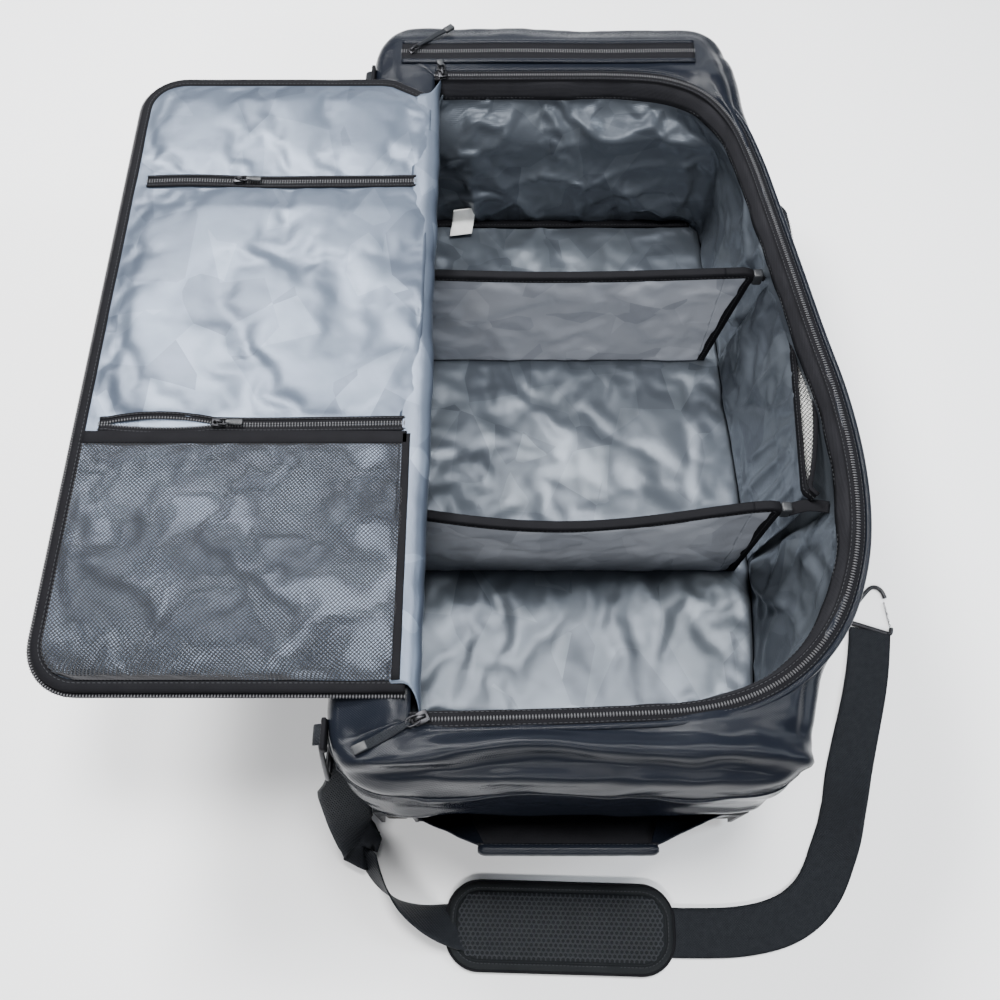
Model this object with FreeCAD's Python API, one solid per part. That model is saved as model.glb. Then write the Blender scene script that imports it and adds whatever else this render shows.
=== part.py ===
import FreeCAD, Part
import math
import os

# Rolling duffel bag, lid open. Millimetres.
# +X runs from the lid hinge to the free side, +Y from the wheel end to the handle end, +Z up.
# The origin is the middle of the bag's footprint, lid included, on the ground.

V = FreeCAD.Vector
X_AXIS = V(1, 0, 0)
Y_AXIS = V(0, 1, 0)
Z_AXIS = V(0, 0, 1)

# ---- driving dimensions ----
BODY_LEFT = -120.0
BODY_RIGHT = 313.0
BODY_NEAR = -437.0
BODY_FAR = 482.0
BODY_CORNER = 50.0
FABRIC = 4.0                 # padded outer wall thickness
LINING = 1.5
BASE_Z = 18.0                # underside of the base panel
DECK_Z = 310.0               # top of the margins around the mouth
BOARD_Z = 76.0               # underside of the rigid base board
BOARD = 6.0
FLOOR_Z = 88.0               # top of the padded floor inside the bag
BULKHEAD_Y = 356.0           # wall between the main space and the end pocket
LID_LEFT = -389.0
LID_RIGHT = -50.0
LID_NEAR = -368.0
LID_FAR = 375.0
LID_CORNER = 52.0
LID_Z = 312.0
REAR_LIMIT = 487.5           # half of the overall length
BODY_MID = (BODY_LEFT + BODY_RIGHT) / 2.0

WHEEL_R = 45.0
WHEEL_W = 26.0
WHEEL_Y = BODY_NEAR + WHEEL_R
WHEEL_OFFSET = 175.5         # from the middle of the body to the middle of each wheel
AXLE_R = 4.0
BEARING_R = 11.0
BEARING_W = 7.0
RUNNING_GAP = 0.03
HOUSING_HALF = 21.0          # half the width of a wheel housing, across the bag
HOUSING_DEPTH = 96.0
HOUSING_LOW = 10.0
HOUSING_TOP = 97.0
WHEEL_WELL_HALF = 17.0

TUBE_OFFSET = 75.0
TUBE_Z = 47.0
FRAME_OFFSET = 122.0         # from the middle of the body to each rail of the base frame
SKID_OFFSET = 150.0
BEZEL_HALF = 101.0
BEZEL_NEAR = 468.0
BEZEL_FAR = 484.5
GRIP_NEAR = 474.0
ZIP_HALF = 7.0               # half the width of the mouth zip's tape
ZIP_T = 2.0
HANDLE_Z = 210.0             # lower edge of the side handles' webbing
HANDLE_W = 12.0
LOOP_HALF = 4.2              # half the width of a strap loop where the hook hangs
LOOP_BAR_Z = 273.0
LOOP_TOP_Z = 300.0
LOOP_Y = 396.0

DIVIDER_T = 8.0
DIVIDER_H = 176.0
DIVIDER_RIGHT = 305.0
DIVIDER_Y = {"far": 123.5, "near": -166.5}

STRAP_W = 50.0
STRAP_T = 3.0
PAD_LENGTH = 246.0
PAD_WIDTH = 89.0
PAD_T = 14.0
PAD_X = 98.0
PAD_Y = -545.0
PAD_TURN = -1.5

# outer edge of the free side at the deck, far end first
RIM = [(313, 432), (322, 350), (334, 270), (345, 190), (358, 105), (371, 20), (384, -60),
       (389, -132), (384, -200), (370, -254), (348, -304), (324, -348), (313, -387)]

# centre line of the mouth zip, far hinge end first
MOUTH = [(-45, 384), (30, 384.5), (105, 385), (175, 384.5), (232, 378), (276, 355), (305, 310), (321, 250),
         (332, 185), (345, 103), (358, 18), (371, -60), (376, -132), (372, -197), (359, -250), (336, -298),
         (300, -338), (255, -364), (200, -377), (120, -381.5), (40, -384), (-45, -386)]

# route of the shoulder strap on the ground, from under the hanging part to the free end
STRAP_ROUTE = [(-118, -462), (-102, -496), (-76, -524), (-38, -540), (8, -546), (60, -547), (120, -547.5),
               (180, -549), (240, -551), (297, -550), (348, -538), (385, -509), (407, -464),
               (424, -409), (446, -352), (467, -295), (481, -247), (487.5, -211)]

# where the hook on the strap's free end lies
FREE_HOOK = FreeCAD.Placement(V(488, -207, 0), FreeCAD.Rotation(Z_AXIS, -18.5))

nodes = {}


# ---- small shape helpers ----
def block(x0, x1, y0, y1, z0, z1):
    return Part.makeBox(x1 - x0, y1 - y0, z1 - z0, V(x0, y0, z0))


def rod(radius, start, direction, length):
    return Part.makeCylinder(radius, length, V(*start), direction)


def ring(outer, inner, start, direction, length):
    return rod(outer, start, direction, length).cut(rod(inner, start, direction, length))


def polygon_prism(points, sweep):
    corners = [V(*p) for p in points]
    wire = Part.makePolygon(corners + [corners[0]])
    return Part.Face(wire).extrude(sweep)


def smooth_edge(points):
    curve = Part.BSplineCurve()
    curve.interpolate([V(*p) for p in points])
    return curve.toShape()


def line_edge(a, b):
    return Part.LineSegment(V(*a), V(*b)).toShape()


def rounded_face(x0, x1, y0, y1, radius, z):
    edges = []
    corners = [(x1 - radius, y0 + radius, -90), (x1 - radius, y1 - radius, 0),
               (x0 + radius, y1 - radius, 90), (x0 + radius, y0 + radius, 180)]
    arcs = []
    for cx, cy, first in corners:
        pts = []
        for turn in (0, 45, 90):
            a = math.radians(first + turn)
            pts.append(V(cx + radius * math.cos(a), cy + radius * math.sin(a), z))
        arcs.append(pts)
    for i, pts in enumerate(arcs):
        edges.append(Part.Arc(*pts).toShape())
        following = arcs[(i + 1) % 4][0]
        edges.append(Part.LineSegment(pts[2], following).toShape())
    return Part.Face(Part.Wire(edges))


def rounded_block(x0, x1, y0, y1, z0, z1, radius):
    return rounded_face(x0, x1, y0, y1, radius, z0).extrude(V(0, 0, z1 - z0))


def offset_points(points, distance):
    """Points moved to the left of the way they run."""
    moved = []
    last = len(points) - 1
    for i, (x, y) in enumerate(points):
        ax, ay = points[max(i - 1, 0)]
        bx, by = points[min(i + 1, last)]
        length = math.hypot(bx - ax, by - ay)
        moved.append((x - distance * (by - ay) / length, y + distance * (bx - ax) / length))
    return moved


def strip(points, left, right, z0, z1):
    """A flat strip that follows a smooth line in plan."""
    one = [(x, y, z0) for x, y in offset_points(points, left)]
    two = [(x, y, z0) for x, y in offset_points(points, right)]
    wire = Part.Wire([smooth_edge(one), line_edge(one[-1], two[-1]), smooth_edge(two),
                      line_edge(two[0], one[0])])
    return Part.Face(wire).extrude(V(0, 0, z1 - z0))


def side_panel(outer, inner, z0, z1, lean0, lean1):
    """A panel on the free side: straight at the base, bulged at the rim."""
    wires = []
    for z, lean in ((z0, lean0), (z1, lean1)):
        a = []
        b = []
        for x, y in RIM:
            here = BODY_RIGHT + (x - BODY_RIGHT) * lean
            a.append((here - outer, y, z))
            b.append((here - inner, y, z))
        wires.append(Part.Wire([smooth_edge(a), line_edge(a[-1], b[-1]), smooth_edge(b),
                                line_edge(b[0], a[0])]))
    return Part.makeLoft(wires, True, True)


def lean_at(z):
    return (z - BASE_Z - FABRIC) / (DECK_Z - BASE_Z - 2.0 * FABRIC)


# ---- outer shell ----
def shell_ring():
    outer = rounded_block(BODY_LEFT, BODY_RIGHT, BODY_NEAR, BODY_FAR,
                          BASE_Z + FABRIC, DECK_Z - FABRIC, BODY_CORNER)
    inner = rounded_block(BODY_LEFT + FABRIC, BODY_RIGHT - FABRIC, BODY_NEAR + FABRIC,
                          BODY_FAR - FABRIC, 0, DECK_Z, BODY_CORNER - FABRIC)
    return outer.cut(inner)


def wheel_notch(middle):
    return block(middle - HOUSING_HALF, middle + HOUSING_HALF,
                 BODY_NEAR - 5, BODY_NEAR + HOUSING_DEPTH + 1, 0, HOUSING_TOP)


def walls():
    around = shell_ring()
    split_near = BODY_NEAR + BODY_CORNER
    split_far = BODY_FAR - BODY_CORNER
    far = around.common(block(-500, 500, split_far, 500, 0, 400))
    near = around.common(block(-500, 500, -500, split_near, 0, 400))
    for side in (-1, 1):
        near = near.cut(wheel_notch(BODY_MID + side * WHEEL_OFFSET))
    far = far.cut(block(BODY_MID - BEZEL_HALF - 0.5, BODY_MID + BEZEL_HALF + 0.5, 470, 500, 26, 68))
    nodes["left_wall"] = block(BODY_LEFT, BODY_LEFT + FABRIC, split_near, split_far,
                               BASE_Z + FABRIC, DECK_Z - FABRIC)
    nodes["near_end_wall"] = near
    nodes["far_end_wall"] = far
    nodes["right_wall"] = side_panel(0, FABRIC, BASE_Z + FABRIC, DECK_Z - FABRIC, 0, 1)


def deck():
    z0 = DECK_Z - FABRIC
    top = rounded_block(BODY_LEFT, BODY_RIGHT, BODY_NEAR, BODY_FAR, z0, DECK_Z, BODY_CORNER)
    rim = [(x, y, z0) for x, y in RIM]
    bulge = Part.Face(Part.Wire([smooth_edge(rim), line_edge(rim[-1], (BODY_MID, rim[-1][1], z0)),
                                 line_edge((BODY_MID, rim[-1][1], z0), (BODY_MID, rim[0][1], z0)),
                                 line_edge((BODY_MID, rim[0][1], z0), rim[0])]))
    whole = top.fuse(bulge.extrude(V(0, 0, FABRIC))).removeSplitter()
    mouth = [(x, y, z0 - 1) for x, y in MOUTH]
    hole = Part.Face(Part.Wire([smooth_edge(mouth), line_edge(mouth[-1], mouth[0])]))
    whole = whole.cut(hole.extrude(V(0, 0, FABRIC + 2)))
    far_split = 350.0
    nodes["mouth_surround"] = whole.common(block(-500, 500, -500, far_split, 0, 400))
    far = whole.common(block(-500, 500, far_split, 500, 0, 400))
    nodes["far_pocket_top"] = far.cut(block(-80, 265, 417, 429, 0, 400))


def base():
    panel = rounded_block(BODY_LEFT, BODY_RIGHT, BODY_NEAR, BODY_FAR, BASE_Z, BASE_Z + FABRIC, BODY_CORNER)
    for side in (-1, 1):
        panel = panel.cut(wheel_notch(BODY_MID + side * WHEEL_OFFSET))
    nodes["outer_base_panel"] = panel
    nodes["base_board"] = block(BODY_LEFT + 6, BODY_RIGHT - 6, -338, 430, BOARD_Z, BOARD_Z + BOARD)
    floor = block(BODY_LEFT + 8, BODY_RIGHT - 8, -336, 352, BOARD_Z + BOARD, FLOOR_Z)
    riser = block(BODY_LEFT + 8, BODY_RIGHT - 8, -340, -336, BOARD_Z + BOARD, 101)
    step = block(BODY_LEFT + 26, BODY_RIGHT - 26, -424, -340, 97, 101)
    nodes["floor_panel"] = floor.fuse([riser, step]).removeSplitter()
    skids = []
    for side in (-1, 1):
        x = BODY_MID + side * SKID_OFFSET
        skids.append(block(x - 8, x + 8, -320, 390, 6, BASE_Z))
        skids.append(Part.makeCone(13, 17, BASE_Z, V(x, 425, 0), Z_AXIS))
    nodes["skid_rails_and_feet"] = Part.makeCompound(skids)
    bulkhead = block(BODY_LEFT + FABRIC, BODY_RIGHT - FABRIC, BULKHEAD_Y, BULKHEAD_Y + FABRIC,
                     FLOOR_Z - BOARD, DECK_Z - FABRIC)
    nodes["far_bulkhead"] = bulkhead


def lining():
    z0 = FLOOR_Z + 1
    z1 = DECK_Z - FABRIC
    left = block(BODY_LEFT + FABRIC, BODY_LEFT + FABRIC + LINING, -385, BULKHEAD_Y - 2, z0, z1)
    far = block(BODY_LEFT + 8, BODY_RIGHT - 8, BULKHEAD_Y - LINING, BULKHEAD_Y, z0, z1)
    near = block(BODY_LEFT + 56, BODY_RIGHT - 56, BODY_NEAR + FABRIC, BODY_NEAR + FABRIC + LINING,
                 104, z1)
    right = side_panel(FABRIC, FABRIC + LINING, z0, z1, lean_at(z0), 1)
    right = right.common(block(200, 500, -385, BULKHEAD_Y - 2, 0, 400))
    nodes["main_lining"] = Part.makeCompound([left, far, near, right])
    pocket = side_panel(FABRIC + 5, FABRIC + 6.5, FLOOR_Z + 8, 268, lean_at(FLOOR_Z + 8), lean_at(268))
    nodes["side_mesh_pocket"] = pocket.common(block(200, 500, -155, 118, 0, 400))


# ---- lid ----
def lid_outline(inset, z0, z1):
    shape = rounded_block(LID_LEFT + inset, LID_RIGHT + 120, LID_NEAR + inset, LID_FAR - inset,
                          z0, z1, LID_CORNER - inset)
    shape = shape.common(block(-500, LID_RIGHT, -500, 500, 0, 400))
    taper = polygon_prism([(-100, 400, z0), (-100, LID_FAR - inset, z0), (-50, LID_FAR - 26 - inset, z0),
                           (-40, 400, z0)], V(0, 0, z1 - z0))
    return shape.cut(taper)


def lid():
    nodes["lid_outer_panel"] = lid_outline(5, LID_Z, LID_Z + 3)
    nodes["lid_lining"] = lid_outline(15, LID_Z + 3, LID_Z + 5)
    nodes["lid_binding"] = lid_outline(5, LID_Z + 3, LID_Z + 6).cut(lid_outline(15, 300, 400)).cut(
        block(LID_RIGHT - 8, 0, -500, 500, 0, 400))
    nodes["lid_zip"] = lid_outline(0, LID_Z, LID_Z + 3).cut(lid_outline(5, 300, 400))
    inner = LID_Z + 5
    nodes["upper_pocket_zip"] = block(-361, -58, 205, 219, inner, inner + ZIP_T)
    nodes["mesh_pocket_zip"] = block(-361, -58, -105, -91, inner, inner + ZIP_T)
    net = block(LID_LEFT, -58, LID_NEAR, -105, inner, inner + 1)
    nodes["mesh_pocket"] = net.common(lid_outline(15, inner, inner + 1))
    zip_pieces("upper_pocket", V(-257, 212, inner + ZIP_T), 0, 24)
    zip_pieces("mesh_pocket", V(-243, -98, inner + ZIP_T), 0, 24)


# ---- zips ----
def slider_shape(length, width, height):
    wedge = polygon_prism([(-length / 2, -width / 2, 0), (length / 2, -width * 0.35, 0),
                           (length / 2, width * 0.35, 0), (-length / 2, width / 2, 0)], V(0, 0, height * 0.6))
    posts = block(-1.5, 1.5, -width * 0.28, width * 0.28, height * 0.6, height)
    eye = rod(1.3, (0, -width, height * 0.78), Y_AXIS, 2 * width)
    return wedge.fuse(posts).cut(eye)


def pull_shape(width, height, reach):
    """A pull tab lying along +X, with a fork and a crossbar that turns in the slider's eye."""
    z = height * 0.78
    bar = rod(1.2, (0, -width * 0.5, z), Y_AXIS, width)
    prongs = []
    for side in (-1, 1):
        y = side * width * 0.44
        prongs.append(block(0, 7, y - 0.9, y + 0.9, z - 1.0, z + 1.0))
    tab = block(6, reach, -width * 0.5, width * 0.5, z - 1.0, z + 1.0)
    shape = bar.fuse(prongs + [tab])
    return shape.removeSplitter()


def zip_pieces(name, place, turn, reach, size=1.0):
    length = 12.0 * size
    width = 9.0 * size
    height = 6.0 * size
    spot = FreeCAD.Placement(place, FreeCAD.Rotation(Z_AXIS, turn))
    for kind, shape in (("slider", slider_shape(length, width, height)),
                        ("pull", pull_shape(width, height, reach))):
        shape.Placement = spot
        nodes[name + "_" + kind] = shape


def mouth_zip():
    top = DECK_Z + ZIP_T
    nodes["mouth_zip"] = strip(MOUTH, -ZIP_HALF, ZIP_HALF, DECK_Z, top)
    nodes["end_pocket_zip"] = block(-86, 271, 411, 435, DECK_Z, top)
    zip_pieces("near_main", V(-36, -385.7, top), 205, 62, 1.25)
    zip_pieces("far_main", V(-36, 384, top), 100, 20, 1.25)
    zip_pieces("end_pocket", V(-72, 423, top), 40, 62)


# ---- wheels ----
def wheel(way, name):
    middle = BODY_MID + way * WHEEL_OFFSET
    inner = middle - WHEEL_W / 2
    tyre = ring(WHEEL_R, 32, (inner, WHEEL_Y, WHEEL_R), X_AXIS, WHEEL_W)
    rims = [e for e in tyre.Edges if e.Curve.TypeId == "Part::GeomCircle" and e.Curve.Radius > 40]
    nodes[name + "_tyre"] = tyre.makeFillet(5, rims)
    hub = ring(32, 6, (inner + 1, WHEEL_Y, WHEEL_R), X_AXIS, WHEEL_W - 2)
    bearings = []
    for x in (inner + 1, inner + WHEEL_W - 1 - BEARING_W):
        hub = hub.cut(rod(BEARING_R, (x, WHEEL_Y, WHEEL_R), X_AXIS, BEARING_W))
        bearings.append(ring(BEARING_R, AXLE_R + RUNNING_GAP, (x, WHEEL_Y, WHEEL_R), X_AXIS, BEARING_W))
    for i in range(6):
        a = math.radians(60 * i)
        hub = hub.cut(rod(5, (inner, WHEEL_Y + 21.5 * math.cos(a), WHEEL_R + 21.5 * math.sin(a)),
                          X_AXIS, WHEEL_W))
    nodes[name + "_hub_and_bearings"] = Part.makeCompound([hub] + bearings)
    well = middle - WHEEL_WELL_HALF
    housing = block(middle - HOUSING_HALF, middle + HOUSING_HALF, BODY_NEAR, BODY_NEAR + HOUSING_DEPTH,
                    HOUSING_LOW, HOUSING_TOP)
    housing = housing.cut(rod(WHEEL_R + 3.5, (well, WHEEL_Y, WHEEL_R), X_AXIS, 2 * WHEEL_WELL_HALF))
    housing = housing.cut(block(well, middle + WHEEL_WELL_HALF, BODY_NEAR - 5, BODY_NEAR + 93.5, 0, WHEEL_R))
    side = (middle - HOUSING_HALF, WHEEL_Y, WHEEL_R)
    axle = rod(AXLE_R, side, X_AXIS, 2 * HOUSING_HALF)
    nodes[name + "_housing"] = housing.cut(axle)
    return axle


def wheels():
    axles = [wheel(-1, "left_wheel"), wheel(1, "right_wheel")]
    nodes["wheel_axles"] = Part.makeCompound(axles)


# ---- telescopic handle ----
def tube_pair(width, height, wall, y0, y1):
    tubes = []
    for side in (-1, 1):
        x = BODY_MID + side * TUBE_OFFSET
        tube = block(x - width / 2, x + width / 2, y0, y1, TUBE_Z - height / 2, TUBE_Z + height / 2)
        if wall:
            tube = tube.cut(block(x - width / 2 + wall, x + width / 2 - wall, y0 - 1, y1 + 1,
                                  TUBE_Z - height / 2 + wall, TUBE_Z + height / 2 - wall))
        tubes.append(tube)
    return tubes


def pull_handle():
    nodes["handle_outer_tubes"] = Part.makeCompound(tube_pair(22, 14, 1.5, -20, BEZEL_NEAR))
    nodes["handle_lower_tubes"] = Part.makeCompound(tube_pair(18.6, 10.6, 1.5, -10, 472))
    frame = []
    for side in (-1, 1):
        x = BODY_MID + side * FRAME_OFFSET
        frame.append(block(x - 5, x + 5, -330, 425, BASE_Z + FABRIC, BOARD_Z))
    for y in (-320, 0, 220, 403):
        frame.append(block(BODY_MID - FRAME_OFFSET, BODY_MID + FRAME_OFFSET, y, y + 22,
                           BASE_Z + FABRIC, BOARD_Z))
    frame = frame[0].fuse(frame[1:]).removeSplitter()
    for tube in tube_pair(22, 14, 0, -25, 500):
        frame = frame.cut(tube)
    nodes["base_frame"] = frame
    bezel = block(BODY_MID - BEZEL_HALF, BODY_MID + BEZEL_HALF, BEZEL_NEAR, BEZEL_FAR, 27, 67)
    bezel = bezel.cut(block(BODY_MID - 94, BODY_MID + 94, 473, 500, 31, 63))
    for tube in tube_pair(19.2, 11.2, 0, 460, 490):
        bezel = bezel.cut(tube)
    nodes["handle_bezel"] = bezel
    grip = rounded_block(BODY_MID - 93, BODY_MID + 93, GRIP_NEAR, BEZEL_FAR, 34, 60, 4)
    grip = grip.cut(block(BODY_MID - 13, BODY_MID + 13, 480, 500, 41, 53))
    nodes["handle_grip"] = grip
    nodes["handle_upper_tubes"] = Part.makeCompound(tube_pair(15, 7, 0, 0, GRIP_NEAR))
    nodes["handle_button"] = block(BODY_MID - 12.5, BODY_MID + 12.5, 483.2, REAR_LIMIT, 41.5, 52.5)


# ---- carry handles ----
def haul_handle():
    flap = polygon_prism([(-6, -438, 126), (-6, -441.5, 124), (-6, -481, 180), (-6, -477, 184)],
                         V(206, 0, 0))
    nodes["haul_handle"] = flap
    nodes["haul_grip"] = rod(6.0, (16, -481.5, 188.5), X_AXIS, 162).common(
        block(0, 400, -REAR_LIMIT, -400, 0, 400))


def side_handle(name, spots, way, out):
    """A webbing handle between two anchor patches; spots are (x, y) on the wall."""
    patches = []
    for x, y in spots:
        x0, x1 = sorted((x, x + way * 2.5))
        patches.append(block(x0, x1, y - 18, y + 18, 200, 232))
        x0, x1 = sorted((x + way * 2.5, x + way * 3.7))
        for z in (206, 226):
            patches.append(block(x0, x1, y - 3, y + 3, z - 3, z + 3))
    (xa, ya), (xb, yb) = spots
    near = xa + way * 9.0
    far = xb + way * 9.0
    outside = out + way * FABRIC
    plan = [(near, ya), (near, ya + 8), (out, ya + 34), (out, yb - 34), (far, yb - 8), (far, yb),
            (far + way * FABRIC, yb), (outside, yb - 31), (outside, ya + 31), (near + way * FABRIC, ya)]
    nodes[name] = polygon_prism([(x, y, HANDLE_Z) for x, y in plan], V(0, 0, HANDLE_W))
    return patches


def side_handles():
    left = side_handle("left_side_handle", [(BODY_LEFT, -70), (BODY_LEFT, 90)], -1, BODY_LEFT - 34)
    right = side_handle("right_side_handle", [(347, 128), (330.5, 288)], 1, 381)
    nodes["handle_anchors"] = Part.makeCompound(left + right)


# ---- strap anchors, carabiners and shoulder strap ----
def carabiner():
    """Triangular strap hook in its own XY plane: base bar on X, tip towards +Y."""
    half = 28.0
    tip = 57.0
    outer = [(-half, -4, 0), (half, -4, 0), (half, 4, 0), (6, tip, 0), (-6, tip, 0), (-half, 4, 0)]
    inner = [(-24, 2, 0), (24, 2, 0), (2.5, 51, 0), (-2.5, 51, 0)]
    plate = polygon_prism(outer, V(0, 0, 5)).cut(polygon_prism(inner, V(0, 0, 5)))
    gap = polygon_prism([(32, 12, 0), (18, 6, 0), (4, 38, 0), (18, 44, 0)], V(0, 0, 5))
    frame = plate.cut(gap)
    gate = rod(1.4, (23.8, 10.6, 2.5), V(-15.5, 34.5, 0), 31)
    return frame, gate


def placed(shape, placement):
    copy = shape.copy()
    copy.Placement = placement
    return copy


def strap_anchors():
    loops = []
    for y in (-LOOP_Y, LOOP_Y):
        outer = block(-131.5, BODY_LEFT, y - LOOP_HALF, y + LOOP_HALF, LOOP_BAR_Z, LOOP_TOP_Z)
        loops.append(outer.cut(block(-130, -121.5, y - 20, y + 20, LOOP_BAR_Z + 2, 287)))
    nodes["strap_loops"] = Part.makeCompound(loops)
    frame, gate = carabiner()
    stand = FreeCAD.Placement(V(-128.2, -LOOP_Y, 229), FreeCAD.Rotation(V(0, 1, 0), V(0, 0, 1), V(1, 0, 0), "XYZ"))
    nodes["left_carabiner"] = placed(frame, stand)
    nodes["left_carabiner_gate"] = placed(gate, stand)
    nodes["free_carabiner"] = placed(frame, FREE_HOOK)
    nodes["free_carabiner_gate"] = placed(gate, FREE_HOOK)


def straight_run(a, b, width):
    along = (b - a).normalize()
    half = V(-along.y, along.x, 0) * (width / 2)
    return Part.Face(Part.makePolygon([a - half, a + half, b + half, b - half, a - half]))


def arc_run(a, along, radius, turn, width):
    """A ring sector that starts at a and turns by turn radians, to the left when that is positive."""
    side = V(-along.y, along.x, 0)
    centre = a + side * radius
    arcs = []
    for half in (-width / 2, width / 2):
        arm = a + side * half - centre
        arcs.append([centre + FreeCAD.Rotation(Z_AXIS, math.degrees(turn) * share).multVec(arm)
                     for share in (0.0, 0.5, 1.0)])
    inner, outer = arcs
    edges = [Part.Arc(*inner).toShape(), Part.LineSegment(inner[2], outer[2]).toShape(),
             Part.Arc(*outer).toShape(), Part.LineSegment(outer[0], inner[0]).toShape()]
    return Part.Face(Part.Wire(Part.__sortEdges__(edges)))


def route_strip(points, width, z0, z1):
    """A flat strap in plan: straight runs joined by tangent arcs. Returns the solid, its length and radii."""
    corners = [V(x, y, z0) for x, y in points]
    faces = []
    radii = []
    length = 0.0
    at = corners[0]
    for before, corner, after in zip(corners, corners[1:], corners[2:]):
        reach = 0.45 * min((corner - before).Length, (after - corner).Length)
        ahead = (corner - before).normalize()
        onward = (after - corner).normalize()
        turn = ahead.getAngle(onward) * (1.0 if ahead.cross(onward).z > 0 else -1.0)
        radius = reach / math.tan(turn / 2)
        entry = corner - ahead * reach
        faces.append(straight_run(at, entry, width))
        faces.append(arc_run(entry, ahead, radius, turn, width))
        radii.append(abs(radius))
        length += (entry - at).Length + radius * turn
        at = corner + onward * reach
    faces.append(straight_run(at, corners[-1], width))
    length += (corners[-1] - at).Length
    solids = [face.extrude(V(0, 0, z1 - z0)) for face in faces]
    return solids[0].fuse(solids[1:]).removeSplitter(), length, radii


def shoulder_strap():
    strap, length, radii = route_strip(STRAP_ROUTE, STRAP_W, 0, STRAP_T)
    beyond_bar = block(-60, 60, -4, 80, -5, 20)
    beyond_bar.Placement = FREE_HOOK
    strap = strap.cut(beyond_bar)
    print("strap on the ground: length %.0f, smallest radius %.0f, volume ratio %.3f"
          % (length, min(radii), strap.Volume / (length * STRAP_W * STRAP_T)))
    top = V(-129.7, -LOOP_Y, 224.9)
    foot = V(-118, -464, STRAP_T)
    half = V(0, STRAP_W / 2, 0)
    thick = V(STRAP_T / 2, 0, 0)
    low = foot - V(-4, 0, 0)
    corners = [low - half - thick, low - half + thick, low + half + thick, low + half - thick]
    face = Part.Face(Part.makePolygon(corners + [corners[0]]))
    hanging = face.extrude(top - low)
    nodes["shoulder_strap"] = Part.makeCompound([strap, hanging])
    pad = Part.makeBox(PAD_LENGTH, PAD_WIDTH, PAD_T, V(-PAD_LENGTH / 2, -PAD_WIDTH / 2, 0))
    uprights = [e for e in pad.Edges if abs(e.Vertexes[0].Z - e.Vertexes[-1].Z) > 1]
    pad = pad.makeFillet(36, uprights)
    pad.Placement = FreeCAD.Placement(V(PAD_X, PAD_Y, STRAP_T), FreeCAD.Rotation(Z_AXIS, PAD_TURN))
    nodes["shoulder_pad"] = pad


# ---- dividers and trims ----
def dividers():
    for name, y in DIVIDER_Y.items():
        z0 = FLOOR_Z + 2
        panel = block(BODY_LEFT + 8, DIVIDER_RIGHT, y, y + DIVIDER_T, z0, z0 + DIVIDER_H)
        z = z0 + DIVIDER_H - 12
        clip = block(DIVIDER_RIGHT, DIVIDER_RIGHT + 9, y + 1, y + 7, z, z + 11)
        nodes[name + "_divider"] = Part.makeCompound([panel, clip])


def export_all():
    os.makedirs("parts", exist_ok=True)
    for name, shape in nodes.items():
        if not shape.isValid() or shape.Volume < 1:
            print("check the shape of", name, shape.isValid(), shape.Volume)
        shape.exportStep("parts/" + name + ".step")


walls()
deck()
base()
lining()
lid()
mouth_zip()
wheels()
pull_handle()
haul_handle()
side_handles()
strap_anchors()
shoulder_strap()
dividers()
export_all()
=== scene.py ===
import math

import bmesh
import bpy
import numpy as np
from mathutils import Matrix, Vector, noise


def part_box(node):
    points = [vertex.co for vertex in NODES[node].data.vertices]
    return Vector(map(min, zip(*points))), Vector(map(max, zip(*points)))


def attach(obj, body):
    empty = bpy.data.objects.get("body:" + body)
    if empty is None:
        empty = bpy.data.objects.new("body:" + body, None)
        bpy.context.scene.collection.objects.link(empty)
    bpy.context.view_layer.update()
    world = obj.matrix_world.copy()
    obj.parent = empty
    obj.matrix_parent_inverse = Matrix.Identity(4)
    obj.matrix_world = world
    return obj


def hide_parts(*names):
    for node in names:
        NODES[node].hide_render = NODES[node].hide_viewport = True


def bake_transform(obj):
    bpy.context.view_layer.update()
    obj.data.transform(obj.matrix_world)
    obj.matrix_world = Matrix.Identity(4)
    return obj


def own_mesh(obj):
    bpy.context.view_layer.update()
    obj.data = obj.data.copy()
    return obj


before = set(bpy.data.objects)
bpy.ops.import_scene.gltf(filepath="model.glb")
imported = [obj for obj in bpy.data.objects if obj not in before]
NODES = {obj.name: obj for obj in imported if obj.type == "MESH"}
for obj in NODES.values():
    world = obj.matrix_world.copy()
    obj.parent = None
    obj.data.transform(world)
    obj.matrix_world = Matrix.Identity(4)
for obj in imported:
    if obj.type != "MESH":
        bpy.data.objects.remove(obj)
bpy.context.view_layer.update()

# Rolling duffel bag, lid open. Metres, in the CAD frame: +X to the free side, +Y to the handle end.

# ---- places taken from the frame ----
SCENE = bpy.context.scene
BASE_LOW, BASE_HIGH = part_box("outer_base_panel")
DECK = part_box("mouth_surround")[1].z
LID_LOW, LID_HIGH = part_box("lid_zip")
LINING_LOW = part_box("lid_lining")[0]
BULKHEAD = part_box("far_bulkhead")[0].y
MIDDLE_X = (BASE_LOW.x + BASE_HIGH.x) / 2
SQUASH_X = 0.300             # pieces reaching beyond this plane are cut off here as pieces of their own
CORNER = 0.050               # plan radius of the bag's corners
LID_CORNER = 0.052           # plan radius of the lid's corners
TAPER = 0.026                # how far the lid's far right corner is cut back

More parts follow.
